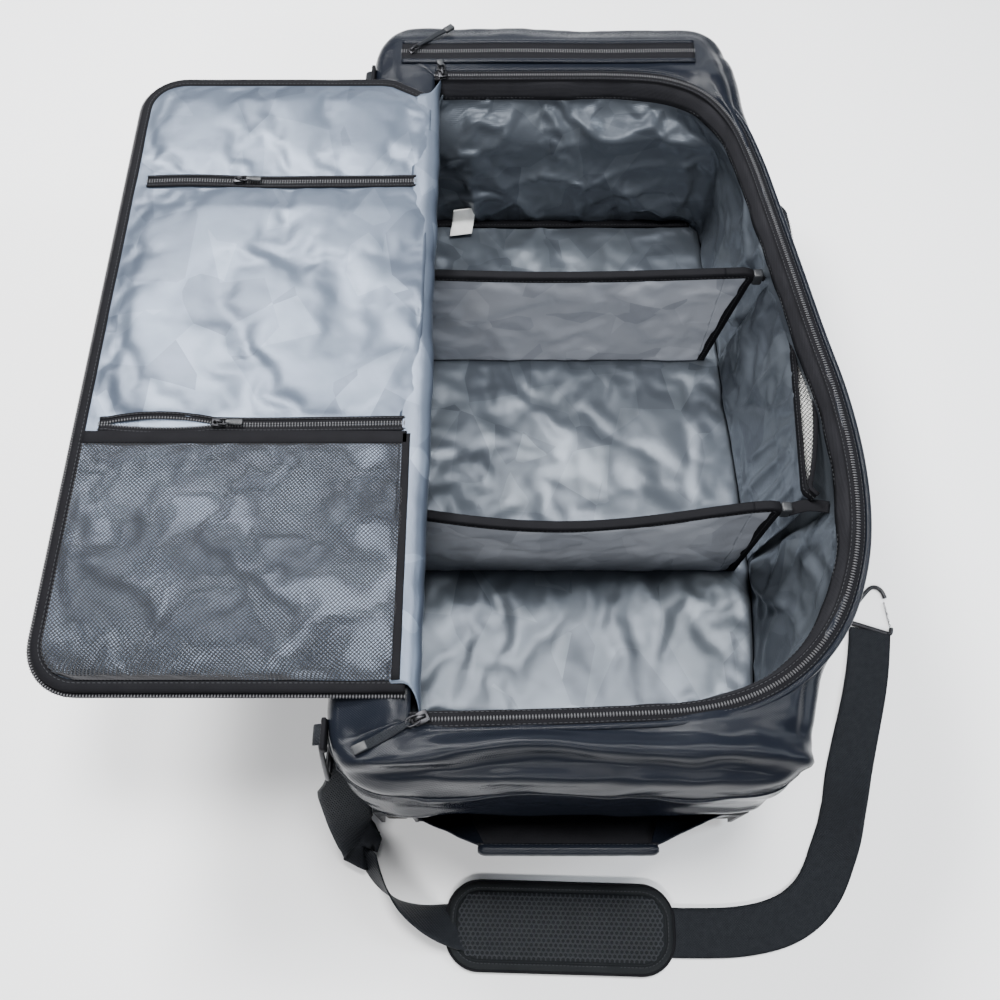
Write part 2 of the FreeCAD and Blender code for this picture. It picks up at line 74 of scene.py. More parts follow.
# ---- outlines repeated from the CAD source, in metres ----
RIM = [(0.313, 0.432), (0.322, 0.350), (0.334, 0.270), (0.345, 0.190), (0.358, 0.105), (0.371, 0.020),
       (0.384, -0.060), (0.389, -0.132), (0.384, -0.200), (0.370, -0.254), (0.348, -0.304),
       (0.324, -0.348), (0.313, -0.387)]
MOUTH = [(-0.045, 0.384), (0.030, 0.3845), (0.105, 0.385), (0.175, 0.3845), (0.232, 0.378), (0.276, 0.355),
         (0.305, 0.310), (0.321, 0.250), (0.332, 0.185), (0.345, 0.103), (0.358, 0.018), (0.371, -0.060),
         (0.376, -0.132), (0.372, -0.197), (0.359, -0.250), (0.336, -0.298), (0.300, -0.338),
         (0.255, -0.364), (0.200, -0.377), (0.120, -0.3815), (0.040, -0.384), (-0.045, -0.386)]
STRAP_ROUTE = [(-0.118, -0.462), (-0.102, -0.496), (-0.076, -0.524), (-0.038, -0.540), (0.008, -0.546),
               (0.060, -0.547), (0.120, -0.5475), (0.180, -0.549), (0.240, -0.551), (0.297, -0.550),
               (0.348, -0.538), (0.385, -0.509), (0.407, -0.464), (0.424, -0.409), (0.446, -0.352),
               (0.467, -0.295), (0.481, -0.247), (0.4875, -0.211)]

UP = (0, 0, 1)

# ---- camera and reflections ----
CAMERA_AT = (0.033, -0.5625, 1.146)
CAMERA_TILT = 24.8
CAMERA_LENS = 34.67
DARK_SHINE = 0.08            # how strongly black cloth and webbing reflect


# ================= mesh helpers =================
def new_object(name, verts, faces, material):
    mesh = bpy.data.meshes.new(name)
    mesh.from_pydata([tuple(map(float, v)) for v in verts], [], faces)
    mesh.materials.append(material)
    mesh.shade_smooth()
    obj = bpy.data.objects.new(name, mesh)
    SCENE.collection.objects.link(obj)
    return obj


def grid_faces(rows, cols, closed):
    faces = []
    wide = cols if closed else cols - 1
    for r in range(rows - 1):
        for c in range(wide):
            d = (c + 1) % cols
            faces.append((r * cols + c, r * cols + d, (r + 1) * cols + d, (r + 1) * cols + c))
    return faces


def capped_faces(rows, cols):
    """Faces of a tube made of rows of points, closed at both ends."""
    faces = grid_faces(rows, cols, True)
    faces.append(tuple(range(cols - 1, -1, -1)))
    faces.append(tuple(range((rows - 1) * cols, rows * cols)))
    return faces


def sheet_object(name, points, material, closed=False):
    """A sheet through rows of points; closed joins the ends of each row."""
    rows, cols = points.shape[:2]
    return new_object(name, points.reshape(-1, 3), grid_faces(rows, cols, closed), material)


def unit(vectors):
    return vectors / np.maximum(np.linalg.norm(vectors, axis=-1, keepdims=True), 1e-12)


def smooth_path(points, step, closed=False):
    """Evenly spaced points on a smooth curve through the given ones."""
    p = np.array(points, float)
    n = len(p)
    out = []
    for i in range(n if closed else n - 1):
        if closed:
            a, b, c, d = p[(i - 1) % n], p[i], p[(i + 1) % n], p[(i + 2) % n]
        else:
            a, b, c, d = p[max(i - 1, 0)], p[i], p[i + 1], p[min(i + 2, n - 1)]
        t = np.linspace(0, 1, 24, endpoint=False)[:, None]
        out.append(0.5 * (2 * b + (c - a) * t + (2 * a - 5 * b + 4 * c - d) * t ** 2
                          + (3 * b - a - 3 * c + d) * t ** 3))
    out.append(p[:1] if closed else p[-1:])
    return even_path(np.concatenate(out), step)


def run_along(points):
    """How far along a path each of its points lies."""
    return np.concatenate([[0], np.cumsum(np.linalg.norm(np.diff(points, axis=0), axis=1))])


def even_path(points, step):
    p = np.array(points, float)
    along = run_along(p)
    count = max(2, int(round(along[-1] / step)) + 1)
    where = np.linspace(0, along[-1], count)
    return np.stack([np.interp(where, along, p[:, k]) for k in range(p.shape[1])], axis=1)


def sweep(name, path, ups, profile, material, closed=False):
    """A closed profile of (side, up) offsets carried along a path; side is to the right of its way."""
    p = np.array(path, float)
    if closed:
        ahead = np.roll(p, -1, 0) - np.roll(p, 1, 0)
    else:
        ahead = np.gradient(p, axis=0)
    ahead = unit(ahead)
    up = np.broadcast_to(np.array(ups, float), p.shape)
    side = unit(np.cross(ahead, up))
    up = np.cross(side, ahead)
    shape = np.array(profile, float)
    if shape.ndim == 2:
        shape = np.broadcast_to(shape, (len(p),) + shape.shape)
    points = p[:, None] + side[:, None] * shape[..., :1] + up[:, None] * shape[..., 1:2]
    rows, cols = points.shape[:2]
    if closed:
        faces = grid_faces(rows, cols, True)
        faces += [(((rows - 1) * cols + c), ((rows - 1) * cols + (c + 1) % cols), (c + 1) % cols, c)
                  for c in range(cols)]
    else:
        faces = capped_faces(rows, cols)
    obj = new_object(name, points.reshape(-1, 3), faces, material)
    return fix_normals(obj)


def fix_normals(obj):
    work = bmesh.new()
    work.from_mesh(obj.data)
    bmesh.ops.recalc_face_normals(work, faces=work.faces)
    work.to_mesh(obj.data)
    work.free()
    return obj


def flat_profile(left, right, low, high, bevel=0.0004):
    """The outline of a tape seen end on, with softened edges."""
    b = bevel
    return [(left + b, low), (right - b, low), (right, low + b), (right, high - b), (right - b, high),
            (left + b, high), (left, high - b), (left, low + b)]


def round_profile(radius, sides, squeeze=1.0):
    turn = np.linspace(0, 2 * math.pi, sides, endpoint=False)
    return [(radius * math.cos(a), radius * squeeze * math.sin(a)) for a in turn]


def scatter(name, unit_verts, unit_faces, places, sizes, axes, material):
    """Copies of one small shape: places (n,3), sizes (n,3) or (3,), axes (n,3,3) with rows x, y, z."""
    base = np.array(unit_verts, float)
    places = np.array(places, float)
    sizes = np.broadcast_to(np.array(sizes, float), places.shape)
    scaled = base[None] * sizes[:, None]
    verts = places[:, None] + np.einsum("nvk,nkj->nvj", scaled, np.array(axes, float))
    faces = []
    count = len(base)
    for i in range(len(places)):
        faces.extend(tuple(i * count + v for v in f) for f in unit_faces)
    return new_object(name, verts.reshape(-1, 3), faces, material)


def bead_shape(around=6, along=4):
    """A small rounded pill of size 1 along each axis."""
    verts = []
    for i in range(along + 1):
        a = math.pi * i / along
        x = -math.cos(a) * 0.5
        r = max(math.sin(a), 0.30) * 0.5
        for j in range(around):
            b = 2 * math.pi * j / around
            verts.append((x, r * math.cos(b), r * math.sin(b)))
    return verts, capped_faces(along + 1, around)


def path_axes(path, up):
    """For each point: across, along and up directions, as rows."""
    p = np.array(path, float)
    along = unit(np.gradient(p, axis=0))
    ups = np.broadcast_to(np.array(up, float), p.shape)
    across = unit(np.cross(along, ups))
    return np.stack([across, along, np.cross(across, along)], axis=1)


def from_bmesh(work, name, material):
    mesh = bpy.data.meshes.new(name)
    work.to_mesh(mesh)
    work.free()
    mesh.materials.append(material)
    mesh.shade_smooth()
    obj = bpy.data.objects.new(name, mesh)
    SCENE.collection.objects.link(obj)
    return obj


def bevel_box(name, low, high, bevel, material):
    """A moulded block with rounded edges."""
    work = bmesh.new()
    bmesh.ops.create_cube(work, size=1.0)
    size = Vector(high) - Vector(low)
    middle = (Vector(high) + Vector(low)) / 2
    for v in work.verts:
        v.co = Vector((v.co.x * size.x, v.co.y * size.y, v.co.z * size.z)) + middle
    bmesh.ops.bevel(work, geom=work.edges[:], offset=bevel, segments=3, profile=0.5, affect="EDGES")
    return from_bmesh(work, name, material)


def join(name, parts):
    """One object from several, which share their first one's name and materials."""
    with bpy.context.temp_override(active_object=parts[0], selected_editable_objects=parts,
                                   selected_objects=parts, object=parts[0]):
        bpy.ops.object.join()
    parts[0].name = name
    return parts[0]


def coordinates(obj):
    co = np.empty(len(obj.data.vertices) * 3)
    obj.data.vertices.foreach_get("co", co)
    return co.reshape(-1, 3)


def set_coordinates(obj, co):
    obj.data.vertices.foreach_set("co", np.asarray(co, float).ravel())
    obj.data.update()


def bake(obj):
    """Applies what modifiers the piece has."""
    done = bpy.data.meshes.new_from_object(obj.evaluated_get(bpy.context.evaluated_depsgraph_get()))
    obj.modifiers.clear()
    old = obj.data
    obj.data = done
    bpy.data.meshes.remove(old)
    return obj


def subdivide(obj, levels):
    m = obj.modifiers.new("finer", "SUBSURF")
    m.levels = levels
    m.render_levels = levels
    m.boundary_smooth = "PRESERVE_CORNERS"
    return bake(obj)


def thicken(obj, thickness, offset=-1.0):
    m = obj.modifiers.new("thick", "SOLIDIFY")
    m.thickness = thickness
    m.offset = offset
    return bake(obj)


def finish_cloth(obj, thickness, offset=-1.0):
    """Smooths a sheet and gives it its thickness."""
    fix_normals(obj)
    subdivide(obj, 1)
    thicken(obj, thickness, offset)


def unit_grid(cols, rows):
    """U across and V along the rows, both from 0 to 1."""
    return np.meshgrid(np.linspace(0, 1, cols), np.linspace(0, 1, rows))


def hemmed(shape):
    """A mask that pins the four edges of a sheet."""
    hold = np.zeros(shape)
    hold[[0, -1]] = 1.0
    hold[:, [0, -1]] = 1.0
    return hold


def wobble(points, size, seed, octaves):
    """Smooth noise from -1 to 1 at each point, with features about size metres across."""
    shift = Vector((seed * 7.31, seed * 3.17, seed * 5.77))
    values = np.empty(len(points))
    for i, p in enumerate(points):
        q = Vector(p) / size + shift
        values[i] = noise.fractal(q, 1.0, 2.0, octaves)
    return values


def creases(points, size, seed):
    """Folds with sharp ridges, from 0 to 1."""
    return np.clip(1.0 - 2.2 * np.abs(wobble(points, size, seed, 1)), 0, 1) ** 2


def hold_back(move, outward, most):
    """Limits how far points move outward; the rest of an outward move is turned inward."""
    if outward is None:
        return move
    along = np.sum(move * outward, axis=1, keepdims=True)
    return move - outward * 1.7 * np.maximum(along - most, 0)


def crumple(obj, pinned, grow, cap, *, frames, bend, seed, outward=None, most=0.0, quality=4):
    """Cloth cut too large for its place, pinned where the mask says, wrinkles up. Moves are capped."""
    start = coordinates(obj)
    seeded = start + np.stack([wobble(start, 0.035, seed + k, 2) for k in range(3)], axis=1) * (
        0.0016 * (1.0 - pinned[:, None]))
    set_coordinates(obj, seeded)
    group = obj.vertex_groups.new(name="pinned")
    for i in np.nonzero(pinned > 0.01)[0]:
        group.add([int(i)], float(pinned[i]), "REPLACE")
    cloth = obj.modifiers.new("cloth", "CLOTH")
    s = cloth.settings
    s.quality = quality
    s.mass = 0.2
    s.tension_stiffness = 12
    s.compression_stiffness = 12
    s.shear_stiffness = 4
    s.bending_stiffness = bend
    s.vertex_group_mass = "pinned"
    s.shrink_min = -grow
    s.shrink_max = -grow
    s.effector_weights.gravity = 0.0
    cloth.point_cache.frame_end = frames
    for f in range(1, frames + 1):
        SCENE.frame_set(f)
    result = obj.evaluated_get(bpy.context.evaluated_depsgraph_get()).to_mesh()
    moved = np.empty(len(result.vertices) * 3)
    result.vertices.foreach_get("co", moved)
    obj.evaluated_get(bpy.context.evaluated_depsgraph_get()).to_mesh_clear()
    move = moved.reshape(-1, 3) - start
    far = np.linalg.norm(move, axis=1, keepdims=True)
    move *= np.tanh(far / cap) * cap / np.maximum(far, 1e-9)
    obj.modifiers.clear()
    obj.vertex_groups.clear()
    SCENE.frame_set(1)
    set_coordinates(obj, start + hold_back(move, outward, most))
    return obj


def split_free_side(obj, name, at=SQUASH_X, closed=False):
    """Cuts a mesh at a plane across X. What lies beyond becomes a piece of its own."""
    far = bpy.data.objects.new(name, obj.data.copy())
    SCENE.collection.objects.link(far)
    for piece, keep_outer in ((obj, False), (far, True)):
        work = bmesh.new()
        work.from_mesh(piece.data)
        cut = bmesh.ops.bisect_plane(work, geom=work.verts[:] + work.edges[:] + work.faces[:],
                                     plane_co=(at, 0, 0), plane_no=(1, 0, 0),
                                     clear_outer=not keep_outer, clear_inner=keep_outer)
        if closed:
            edges = [e for e in cut["geom_cut"] if isinstance(e, bmesh.types.BMEdge)]
            bmesh.ops.edgenet_fill(work, edges=edges)
            bmesh.ops.recalc_face_normals(work, faces=work.faces)
        work.to_mesh(piece.data)
        work.free()
    far.data.shade_smooth()
    obj.data.shade_smooth()
    return far


def draw_in(obj):
    """Gives a piece a mesh of its own."""
    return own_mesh(obj)


def place(obj, body, slot, *nodes):
    """Gives a piece its body and hides the CAD nodes that it replaces. The slot is not used."""
    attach(obj, body)
    if nodes:
        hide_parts(*nodes)
    return obj


def place_split(obj, body, slot, name, *nodes):
    """Places a piece that reaches beyond SQUASH_X, as two pieces."""
    far = split_free_side(obj, name)
    place(far, body, slot)
    draw_in(far)
    return place(obj, body, slot, *nodes)


def place_beyond(obj, body, slot, *nodes):
    """Places a piece that lies wholly beyond SQUASH_X."""
    return draw_in(place(obj, body, slot, *nodes))


BEAD = bead_shape()


def raised(path, height):
    lifted = np.array(path, float)
    lifted[:, 2] = height
    return lifted


def spaced(path, up, pitch):
    """Even spots along a path, with the up direction at each."""
    p = np.array(path, float)
    ups = np.broadcast_to(np.array(up, float), p.shape)
    along = run_along(p)
    where = np.linspace(0, along[-1], max(2, int(round(along[-1] / pitch)) + 1))
    spots = np.stack([np.interp(where, along, p[:, k]) for k in range(3)], axis=1)
    return spots, unit(np.stack([np.interp(where, along, ups[:, k]) for k in range(3)], axis=1))


TEETH_PITCH = 0.0028


def stitch_row(name, path, up, pitch=0.0045, size=(0.0007, 0.0030, 0.0006)):
    """Thread stitches along a path."""
    spots, ups = spaced(path, up, pitch)
    return scatter(name, BEAD[0], BEAD[1], spots, (size[1], size[0], size[2]),
                   path_axes(spots, ups)[:, [1, 0, 2]], STITCH)


def teeth_row(name, path, width=0.0036, height=0.0018, shift=0.0):
    """Coil teeth across a path; shift moves the row to its right."""
    spots, ups = spaced(path, UP, TEETH_PITCH)
    axes = path_axes(spots, ups)
    spots = spots + axes[:, 0] * shift
    # the teeth take the grey coil colour, with its painted highlight
    return scatter(name, BEAD[0], BEAD[1], spots, (width, 0.0019, height), axes, TEETH)


# ================= materials =================
class Recipe:
    """Builds one node material, with colour, roughness and bump worked out from object coordinates."""

    def __init__(self, name, colour, roughness, metallic=0.0):
        self.material = bpy.data.materials.new(name)
        self.material.use_nodes = True
        self.tree = self.material.node_tree
        self.shader = self.tree.nodes["Principled BSDF"]
        self.shader.inputs["Base Color"].default_value = (*colour, 1)
        self.shader.inputs["Roughness"].default_value = roughness
        self.shader.inputs["Metallic"].default_value = metallic
        self.place = self.tree.nodes.new("ShaderNodeTexCoord").outputs["Object"]
        self.height = None

    def node(self, kind, inputs=None, **settings):
        made = self.tree.nodes.new(kind)
        for key, value in settings.items():
            setattr(made, key, value)
        for key, value in (inputs or {}).items():
            if isinstance(value, bpy.types.NodeSocket):
                self.tree.links.new(value, made.inputs[key])
            else:
                made.inputs[key].default_value = value
        return made

    def link(self, output, name):
        self.tree.links.new(output, self.shader.inputs[name])

    def math(self, operation, a, b=0.0):
        return self.node("ShaderNodeMath", {0: a, 1: b}, operation=operation).outputs[0]

    def turned(self, degrees, axis=2):
        turn = [0.0, 0.0, 0.0]
        turn[axis] = math.radians(degrees)
        return self.node("ShaderNodeMapping", {"Vector": self.place, "Rotation": turn}).outputs[0]

    def noise(self, size, detail=2.0, where=None):
        return self.node("ShaderNodeTexNoise", {"Vector": where or self.place, "Scale": 1.0 / size,
                                                "Detail": detail}).outputs["Fac"]

    def stripes(self, pitch, direction, where=None):
        """Bands with the given pitch in metres."""
        return self.node("ShaderNodeTexWave", {"Vector": where or self.place, "Scale": 0.314 / pitch},
                         bands_direction=direction).outputs["Fac"]

    def weave(self, pitch, where=None, flat=("X", "Y")):
        a = self.stripes(pitch, flat[0], where)
        b = self.stripes(pitch, flat[1], where)
        return self.math("MAXIMUM", a, b)

    def add_height(self, value, amount):
        part = self.math("MULTIPLY", value, amount)
        self.height = part if self.height is None else self.math("ADD", self.height, part)

    def vary_colour(self, factor, first, second):
        mix = self.node("ShaderNodeMix", {0: factor, 6: (*first, 1), 7: (*second, 1)}, data_type="RGBA")
        self.link(mix.outputs[2], "Base Color")

    def vary_roughness(self, factor, low, high):
        spread = self.node("ShaderNodeMapRange", {0: factor, 3: low, 4: high})
        self.link(spread.outputs[0], "Roughness")

    def finish(self, distance=0.0004, strength=0.6):
        if self.height is not None:
            bump = self.node("ShaderNodeBump", {"Height": self.height, "Distance": distance,
                                                "Strength": strength})
            self.link(bump.outputs[0], "Normal")
        return self.material


def make_tpu():
    r = Recipe("coated_fabric", (0.005, 0.006, 0.009), 0.26)
    diagonal = r.turned(38)
    weave = r.weave(0.0016, diagonal)
    r.add_height(weave, 0.30)
    r.add_height(r.noise(0.012, 3.0), 0.7)
    r.add_height(r.noise(0.004, 2.0), 0.2)
    worn = r.noise(0.09, 4.0)
    r.vary_colour(worn, (0.0035, 0.0045, 0.0075), (0.009, 0.011, 0.016))
    r.vary_roughness(r.noise(0.03, 3.0), 0.12, 0.24)
    r.shader.inputs["Specular IOR Level"].default_value = 0.13
    return r.finish(0.0009, 0.55)


def make_lining(name, tones, gleam):
    """Satin with tone-on-tone angular patches."""
    r = Recipe(name, tones[0], 0.4, gleam)
    bent = r.node("ShaderNodeMapping", {"Vector": r.place, "Scale": (1.0, 0.72, 1.0),
                                        "Rotation": (0.3, 0.2, 0.5)}).outputs[0]
    cells = r.node("ShaderNodeTexVoronoi", {"Vector": bent, "Scale": 17.0, "Randomness": 1.0},
                   distance="EUCLIDEAN")
    other = r.node("ShaderNodeTexVoronoi", {"Vector": r.turned(57), "Scale": 11.0, "Randomness": 1.0},
                   distance="EUCLIDEAN")
    one = r.node("ShaderNodeSeparateColor", {0: cells.outputs["Color"]}).outputs[0]
    two = r.node("ShaderNodeSeparateColor", {0: other.outputs["Color"]}).outputs[1]
    blend = r.math("ADD", r.math("MULTIPLY", one, 0.6), r.math("MULTIPLY", two, 0.4))
    ramp = r.node("ShaderNodeValToRGB", {0: blend})
    ramp.color_ramp.interpolation = "CONSTANT"
    stops = ramp.color_ramp.elements
    stops[0].color = (*tones[0], 1)
    stops[1].position = 0.42
    stops[1].color = (*tones[1], 1)
    for position, tone in ((0.55, tones[2]), (0.70, tones[0])):
        stops.new(position).color = (*tone, 1)
    r.link(ramp.outputs[0], "Base Color")
    r.add_height(r.weave(0.0011), 0.3)
    r.add_height(r.noise(0.008, 3.0), 0.6)
    r.vary_roughness(r.noise(0.04, 2.0), 0.28, 0.42)
    r.shader.inputs["Specular IOR Level"].default_value = 0.3
    return r.finish(0.0006, 0.35)


def make_woven(name, colour, pitch=0.0012, roughness=0.75, depth=0.5):
    """Plain matte woven tape or cloth."""
    r = Recipe(name, colour, roughness)
    r.add_height(r.weave(pitch), 0.6)
    r.add_height(r.noise(0.003, 2.0), 0.3)
    lighter = tuple(1.6 * c + 0.001 for c in colour)
    r.vary_colour(r.noise(0.02, 4.0), colour, lighter)
    r.vary_roughness(r.noise(0.01, 2.0), roughness - 0.12, roughness + 0.1)
    r.shader.inputs["Specular IOR Level"].default_value = DARK_SHINE
    return r.finish(0.0006, depth)


def make_webbing(name, colour):
    r = Recipe(name, colour, 0.55)
    r.add_height(r.weave(0.0021, r.turned(45)), 0.8)
    r.add_height(r.noise(0.002, 2.0), 0.4)
    lighter = tuple(1.8 * c + 0.002 for c in colour)
    r.vary_colour(r.noise(0.006, 4.0), colour, lighter)
    r.shader.inputs["Specular IOR Level"].default_value = DARK_SHINE
    return r.finish(0.0009, 0.8)


def make_plastic(name, colour, roughness=0.42):
    r = Recipe(name, colour, roughness)
    r.add_height(r.noise(0.0012, 2.0), 0.5)
    r.vary_colour(r.noise(0.03, 4.0), colour, tuple(1.5 * c + 0.003 for c in colour))
    r.vary_roughness(r.noise(0.015, 3.0), roughness - 0.1, roughness + 0.14)
    r.shader.inputs["Specular IOR Level"].default_value = 0.35
    return r.finish(0.0003, 0.4)


def make_metal(name, colour, roughness, pitch=0.0006):
    r = Recipe(name, colour, roughness, 1.0)
    r.add_height(r.stripes(pitch, "X"), 0.3)
    r.add_height(r.noise(0.004, 3.0), 0.5)
    r.vary_colour(r.noise(0.02, 4.0), colour, tuple(0.7 * c for c in colour))
    r.vary_roughness(r.noise(0.008, 3.0), roughness - 0.08, roughness + 0.14)
    return r.finish(0.0002, 0.3)


def make_rubber():
    r = Recipe("tyre_rubber", (0.018, 0.018, 0.019), 0.7)
    r.add_height(r.noise(0.002, 3.0), 0.6)
    r.vary_colour(r.noise(0.012, 5.0), (0.014, 0.014, 0.015), (0.045, 0.043, 0.040))
    return r.finish(0.0004, 0.5)


def make_floor():
    r = Recipe("pale_floor", (0.93, 0.93, 0.93), 0.8)
    r.vary_colour(r.noise(0.6, 2.0), (0.92, 0.92, 0.93), (0.95, 0.95, 0.95))
    return r.finish()


TPU = make_tpu()
LINING = make_lining("satin_lining",
                     [(0.088, 0.101, 0.120), (0.072, 0.083, 0.100), (0.106, 0.121, 0.141)], 0.55)
# Divider cover: the same satin as the lining, made much lighter and less metallic so that the dividers' faces
# read as brightly lit. This is painted light.
DIVIDER_LINING_PAINTED_LIGHT = make_lining("divider_satin_painted_light",
                             [(0.302, 0.318, 0.355), (0.250, 0.264, 0.298), (0.345, 0.362, 0.402)], 0.10)
# Lid lining: the same satin as the main lining, made bluer and less metallic so that the lid's upturned face
# reads as catching the sky. This is painted light and painted reflection.
LID_LINING_PAINTED_SKYLIGHT = make_lining("lid_satin_painted_skylight",
                         [(0.083, 0.103, 0.139), (0.065, 0.081, 0.111), (0.102, 0.125, 0.165)], 0.42)
BINDING = make_woven("binding_tape", (0.004, 0.004, 0.005))
FACING = make_woven("facing_tape", (0.012, 0.012, 0.014), 0.0016, 0.8)
WEBBING = make_webbing("ribbed_webbing", (0.008, 0.009, 0.011))
NET = make_plastic("net_thread", (0.012, 0.012, 0.014), 0.55)
SPACER = make_woven("spacer_mesh", (0.008, 0.009, 0.010), 0.0018, 0.7)
KNIT = make_plastic("spacer_knit", (0.013, 0.015, 0.019), 0.5)
PLASTIC = make_plastic("moulded_plastic", (0.014, 0.015, 0.017))
# Coil teeth: grey, lighter than the black coil itself, so that the teeth read as bright dots. This is a
# painted highlight on top of their real gloss.
TEETH = make_plastic("coil_teeth_painted_glint", (0.045, 0.045, 0.048), 0.30)
STITCH = make_woven("stitching_thread", (0.030, 0.031, 0.034), 0.0006, 0.6)
DARK_METAL = make_metal("black_painted_metal", (0.035, 0.035, 0.038), 0.34)
BRIGHT_METAL = make_metal("bright_wire", (0.62, 0.62, 0.63), 0.24)
ALUMINIUM = make_metal("anodised_tube", (0.50, 0.51, 0.53), 0.30)
RUBBER = make_rubber()
LABEL = make_woven("white_label", (0.62, 0.62, 0.60), 0.0010, 0.7)
FLOOR_PAINT = make_floor()


# ================= camera, lights, floor =================
def make_camera():
    data = bpy.data.cameras.new("camera")
    data.lens = CAMERA_LENS
    data.sensor_width = 36
    camera = bpy.data.objects.new("camera", data)
    camera.location = CAMERA_AT
    camera.rotation_euler = (math.radians(CAMERA_TILT), 0, 0)
    SCENE.collection.objects.link(camera)
    SCENE.camera = camera


def area_light(name, at, aim, size, power, colour=(1, 1, 1)):
    data = bpy.data.lights.new(name, "AREA")
    data.shape = "RECTANGLE"
    data.size = size[0]
    data.size_y = size[1]
    data.energy = power
    data.color = colour
    lamp = bpy.data.objects.new(name, data)
    lamp.location = at
    lamp.rotation_euler = (Vector(aim) - Vector(at)).to_track_quat("-Z", "Y").to_euler()
    SCENE.collection.objects.link(lamp)


def make_studio():
    area_light("key", (-0.9, 1.1, 2.2), (0.0, 0.0, 0.2), (0.8, 0.5), 120)
    area_light("overhead", (0.2, 0.1, 2.9), (0.0, 0.0, 0.2), (0.7, 0.7), 105)
    area_light("fill", (1.9, -0.1, 1.8), (0.0, 0.0, 0.2), (0.5, 0.9), 34, (0.86, 0.93, 1.0))
    area_light("front", (-0.3, -2.2, 1.9), (0.0, -0.2, 0.2), (1.0, 0.35), 52)
    area_light("back", (0.3, 2.4, 0.9), (0.0, 0.3, 0.2), (1.6, 0.4), 12, (0.90, 0.94, 1.0))
    world = bpy.data.worlds.new("pale_room")
    world.use_nodes = True
    world.node_tree.nodes["Background"].inputs[0].default_value = (0.94, 0.96, 1.0, 1)
    world.node_tree.nodes["Background"].inputs[1].default_value = 0.26
    SCENE.world = world
    corners = [(-6, -6, 0), (6, -6, 0), (6, 6, 0), (-6, 6, 0)]
    ground = new_object("ground", corners, [(0, 1, 2, 3)], FLOOR_PAINT)


make_camera()
make_studio()


# ================= shoulder strap, the only free cord =================
STRAP_WIDTH = 0.050
STRAP_THICK = 0.0022
STRAP_ROUTE_3D = [(-0.1292, -0.396, 0.2230), (-0.1290, -0.402, 0.190), (-0.1280, -0.415, 0.150),
                  (-0.1265, -0.430, 0.105), (-0.1245, -0.444, 0.066), (-0.1225, -0.455, 0.034),
                  (-0.1175, -0.468, 0.014)]


def nurbs_line(points):
    """Points read from the NURBS spline whose control points are given."""
    curve = bpy.data.curves.new("route", "CURVE")
    curve.dimensions = "3D"
    curve.resolution_u = 14
    spline = curve.splines.new("NURBS")
    spline.points.add(len(points) - 1)
    for point, place_at in zip(spline.points, points):
        point.co = (*place_at, 1)
    spline.order_u = 3
    spline.use_endpoint_u = True
    obj = bpy.data.objects.new("route", curve)
    SCENE.collection.objects.link(obj)
    bpy.context.view_layer.update()
    mesh = bpy.data.meshes.new_from_object(obj.evaluated_get(bpy.context.evaluated_depsgraph_get()))
    line = np.array([v.co for v in mesh.vertices])
    bpy.data.objects.remove(obj)
    bpy.data.curves.remove(curve)
    bpy.data.meshes.remove(mesh)
    return line


def strap_twist(along):
    """How far the webbing is turned about its own line, in degrees from flat, at shares of its length."""
    stations = [0.0, 0.03, 0.07, 0.13, 0.17, 0.195, 0.225, 0.26, 0.30, 0.345, 0.40, 0.70, 0.745, 0.775, 0.80,
                0.84, 0.90, 1.0]
    turns = [90, 62, 38, 32, 50, 92, 120, 96, 62, 18, 0, 0, 10, 30, 34, 12, 0, 0]
    return np.radians(np.interp(along, stations, turns))


def strap_frames(line):
    along = unit(np.gradient(line, axis=0))
    level = unit(np.cross(along, (0.0, 0.0, 1.0)))
    # where the strap hangs, its flat face looks out from the bag
    rise = np.clip((np.abs(along[:, 2]) - 0.75) / 0.2, 0, 1)[:, None]
    level = unit(level * (1 - rise) + np.array([1.0, 0.0, 0.0]) * rise)
    level = unit(level - along * np.sum(level * along, axis=1, keepdims=True))
    return along, level, np.cross(level, along)


def make_strap():
    ground = [(x, y, 0.004) for x, y in STRAP_ROUTE]
    line = even_path(nurbs_line(STRAP_ROUTE_3D + ground), 0.0035)
    share = np.linspace(0, 1, len(line))
    length = float(np.sum(np.linalg.norm(np.diff(line, axis=0), axis=1)))
    along, level, up = strap_frames(line)
    turn = strap_twist(share)[:, None]
    hanging = np.clip(1 - share / 0.05, 0, 1)[:, None]
    across = level * np.cos(turn) + up * np.sin(turn)
    # at the top the webbing lies along the hook's bar
    across = unit(across * (1 - hanging) + np.array([0.0, 1.0, 0.0]) * hanging)
    across = unit(across - along * np.sum(across * along, axis=1, keepdims=True))
    face = np.cross(across, along)
    half = STRAP_WIDTH / 2 * (1 - 0.22 * np.exp(-((share - 0.225) / 0.022) ** 2))[:, None]
    ribs = 10
    rows = []
    for side in (1, -1):
        for k in range(ribs + 1):
            t = side * (-1 + 2 * k / ribs)
            crown = STRAP_THICK / 2 * (1.0 - 0.35 * abs(t) ** 6) * (0.86 + 0.14 * (k % 2))
            rows.append(line + across * half * t + face * crown * side)
    points = np.stack(rows, axis=1)
    lift = np.maximum(0.0006 - points[..., 2].min(axis=1), 0)
    points[..., 2] += lift[:, None]
    faces = capped_faces(*points.shape[:2])
    strap = fix_normals(new_object("shoulder_strap_webbing", points.reshape(-1, 3), faces, WEBBING))
    middle = line + np.array([0, 0, 1.0]) * lift[:, None]
    return strap, middle, length


STRAP, STRAP_LINE, STRAP_LENGTH = make_strap()
place(STRAP, "bag", "webbing", "shoulder_strap")


# ================= outer skin =================
SKIN_STEP = 0.0085
EDGE = 0.016                 # radius of the soft edge between deck and wall
SKIRT = 0.016                # radius at the foot of the walls
WHEEL_X = (-0.079, 0.272)    # middles of the two wheels


def corner_arc(cx, cy, radius, first, last, count=9):
    return [(cx + radius * math.cos(math.radians(a)), cy + radius * math.sin(math.radians(a)))
            for a in np.linspace(first, last, count)]


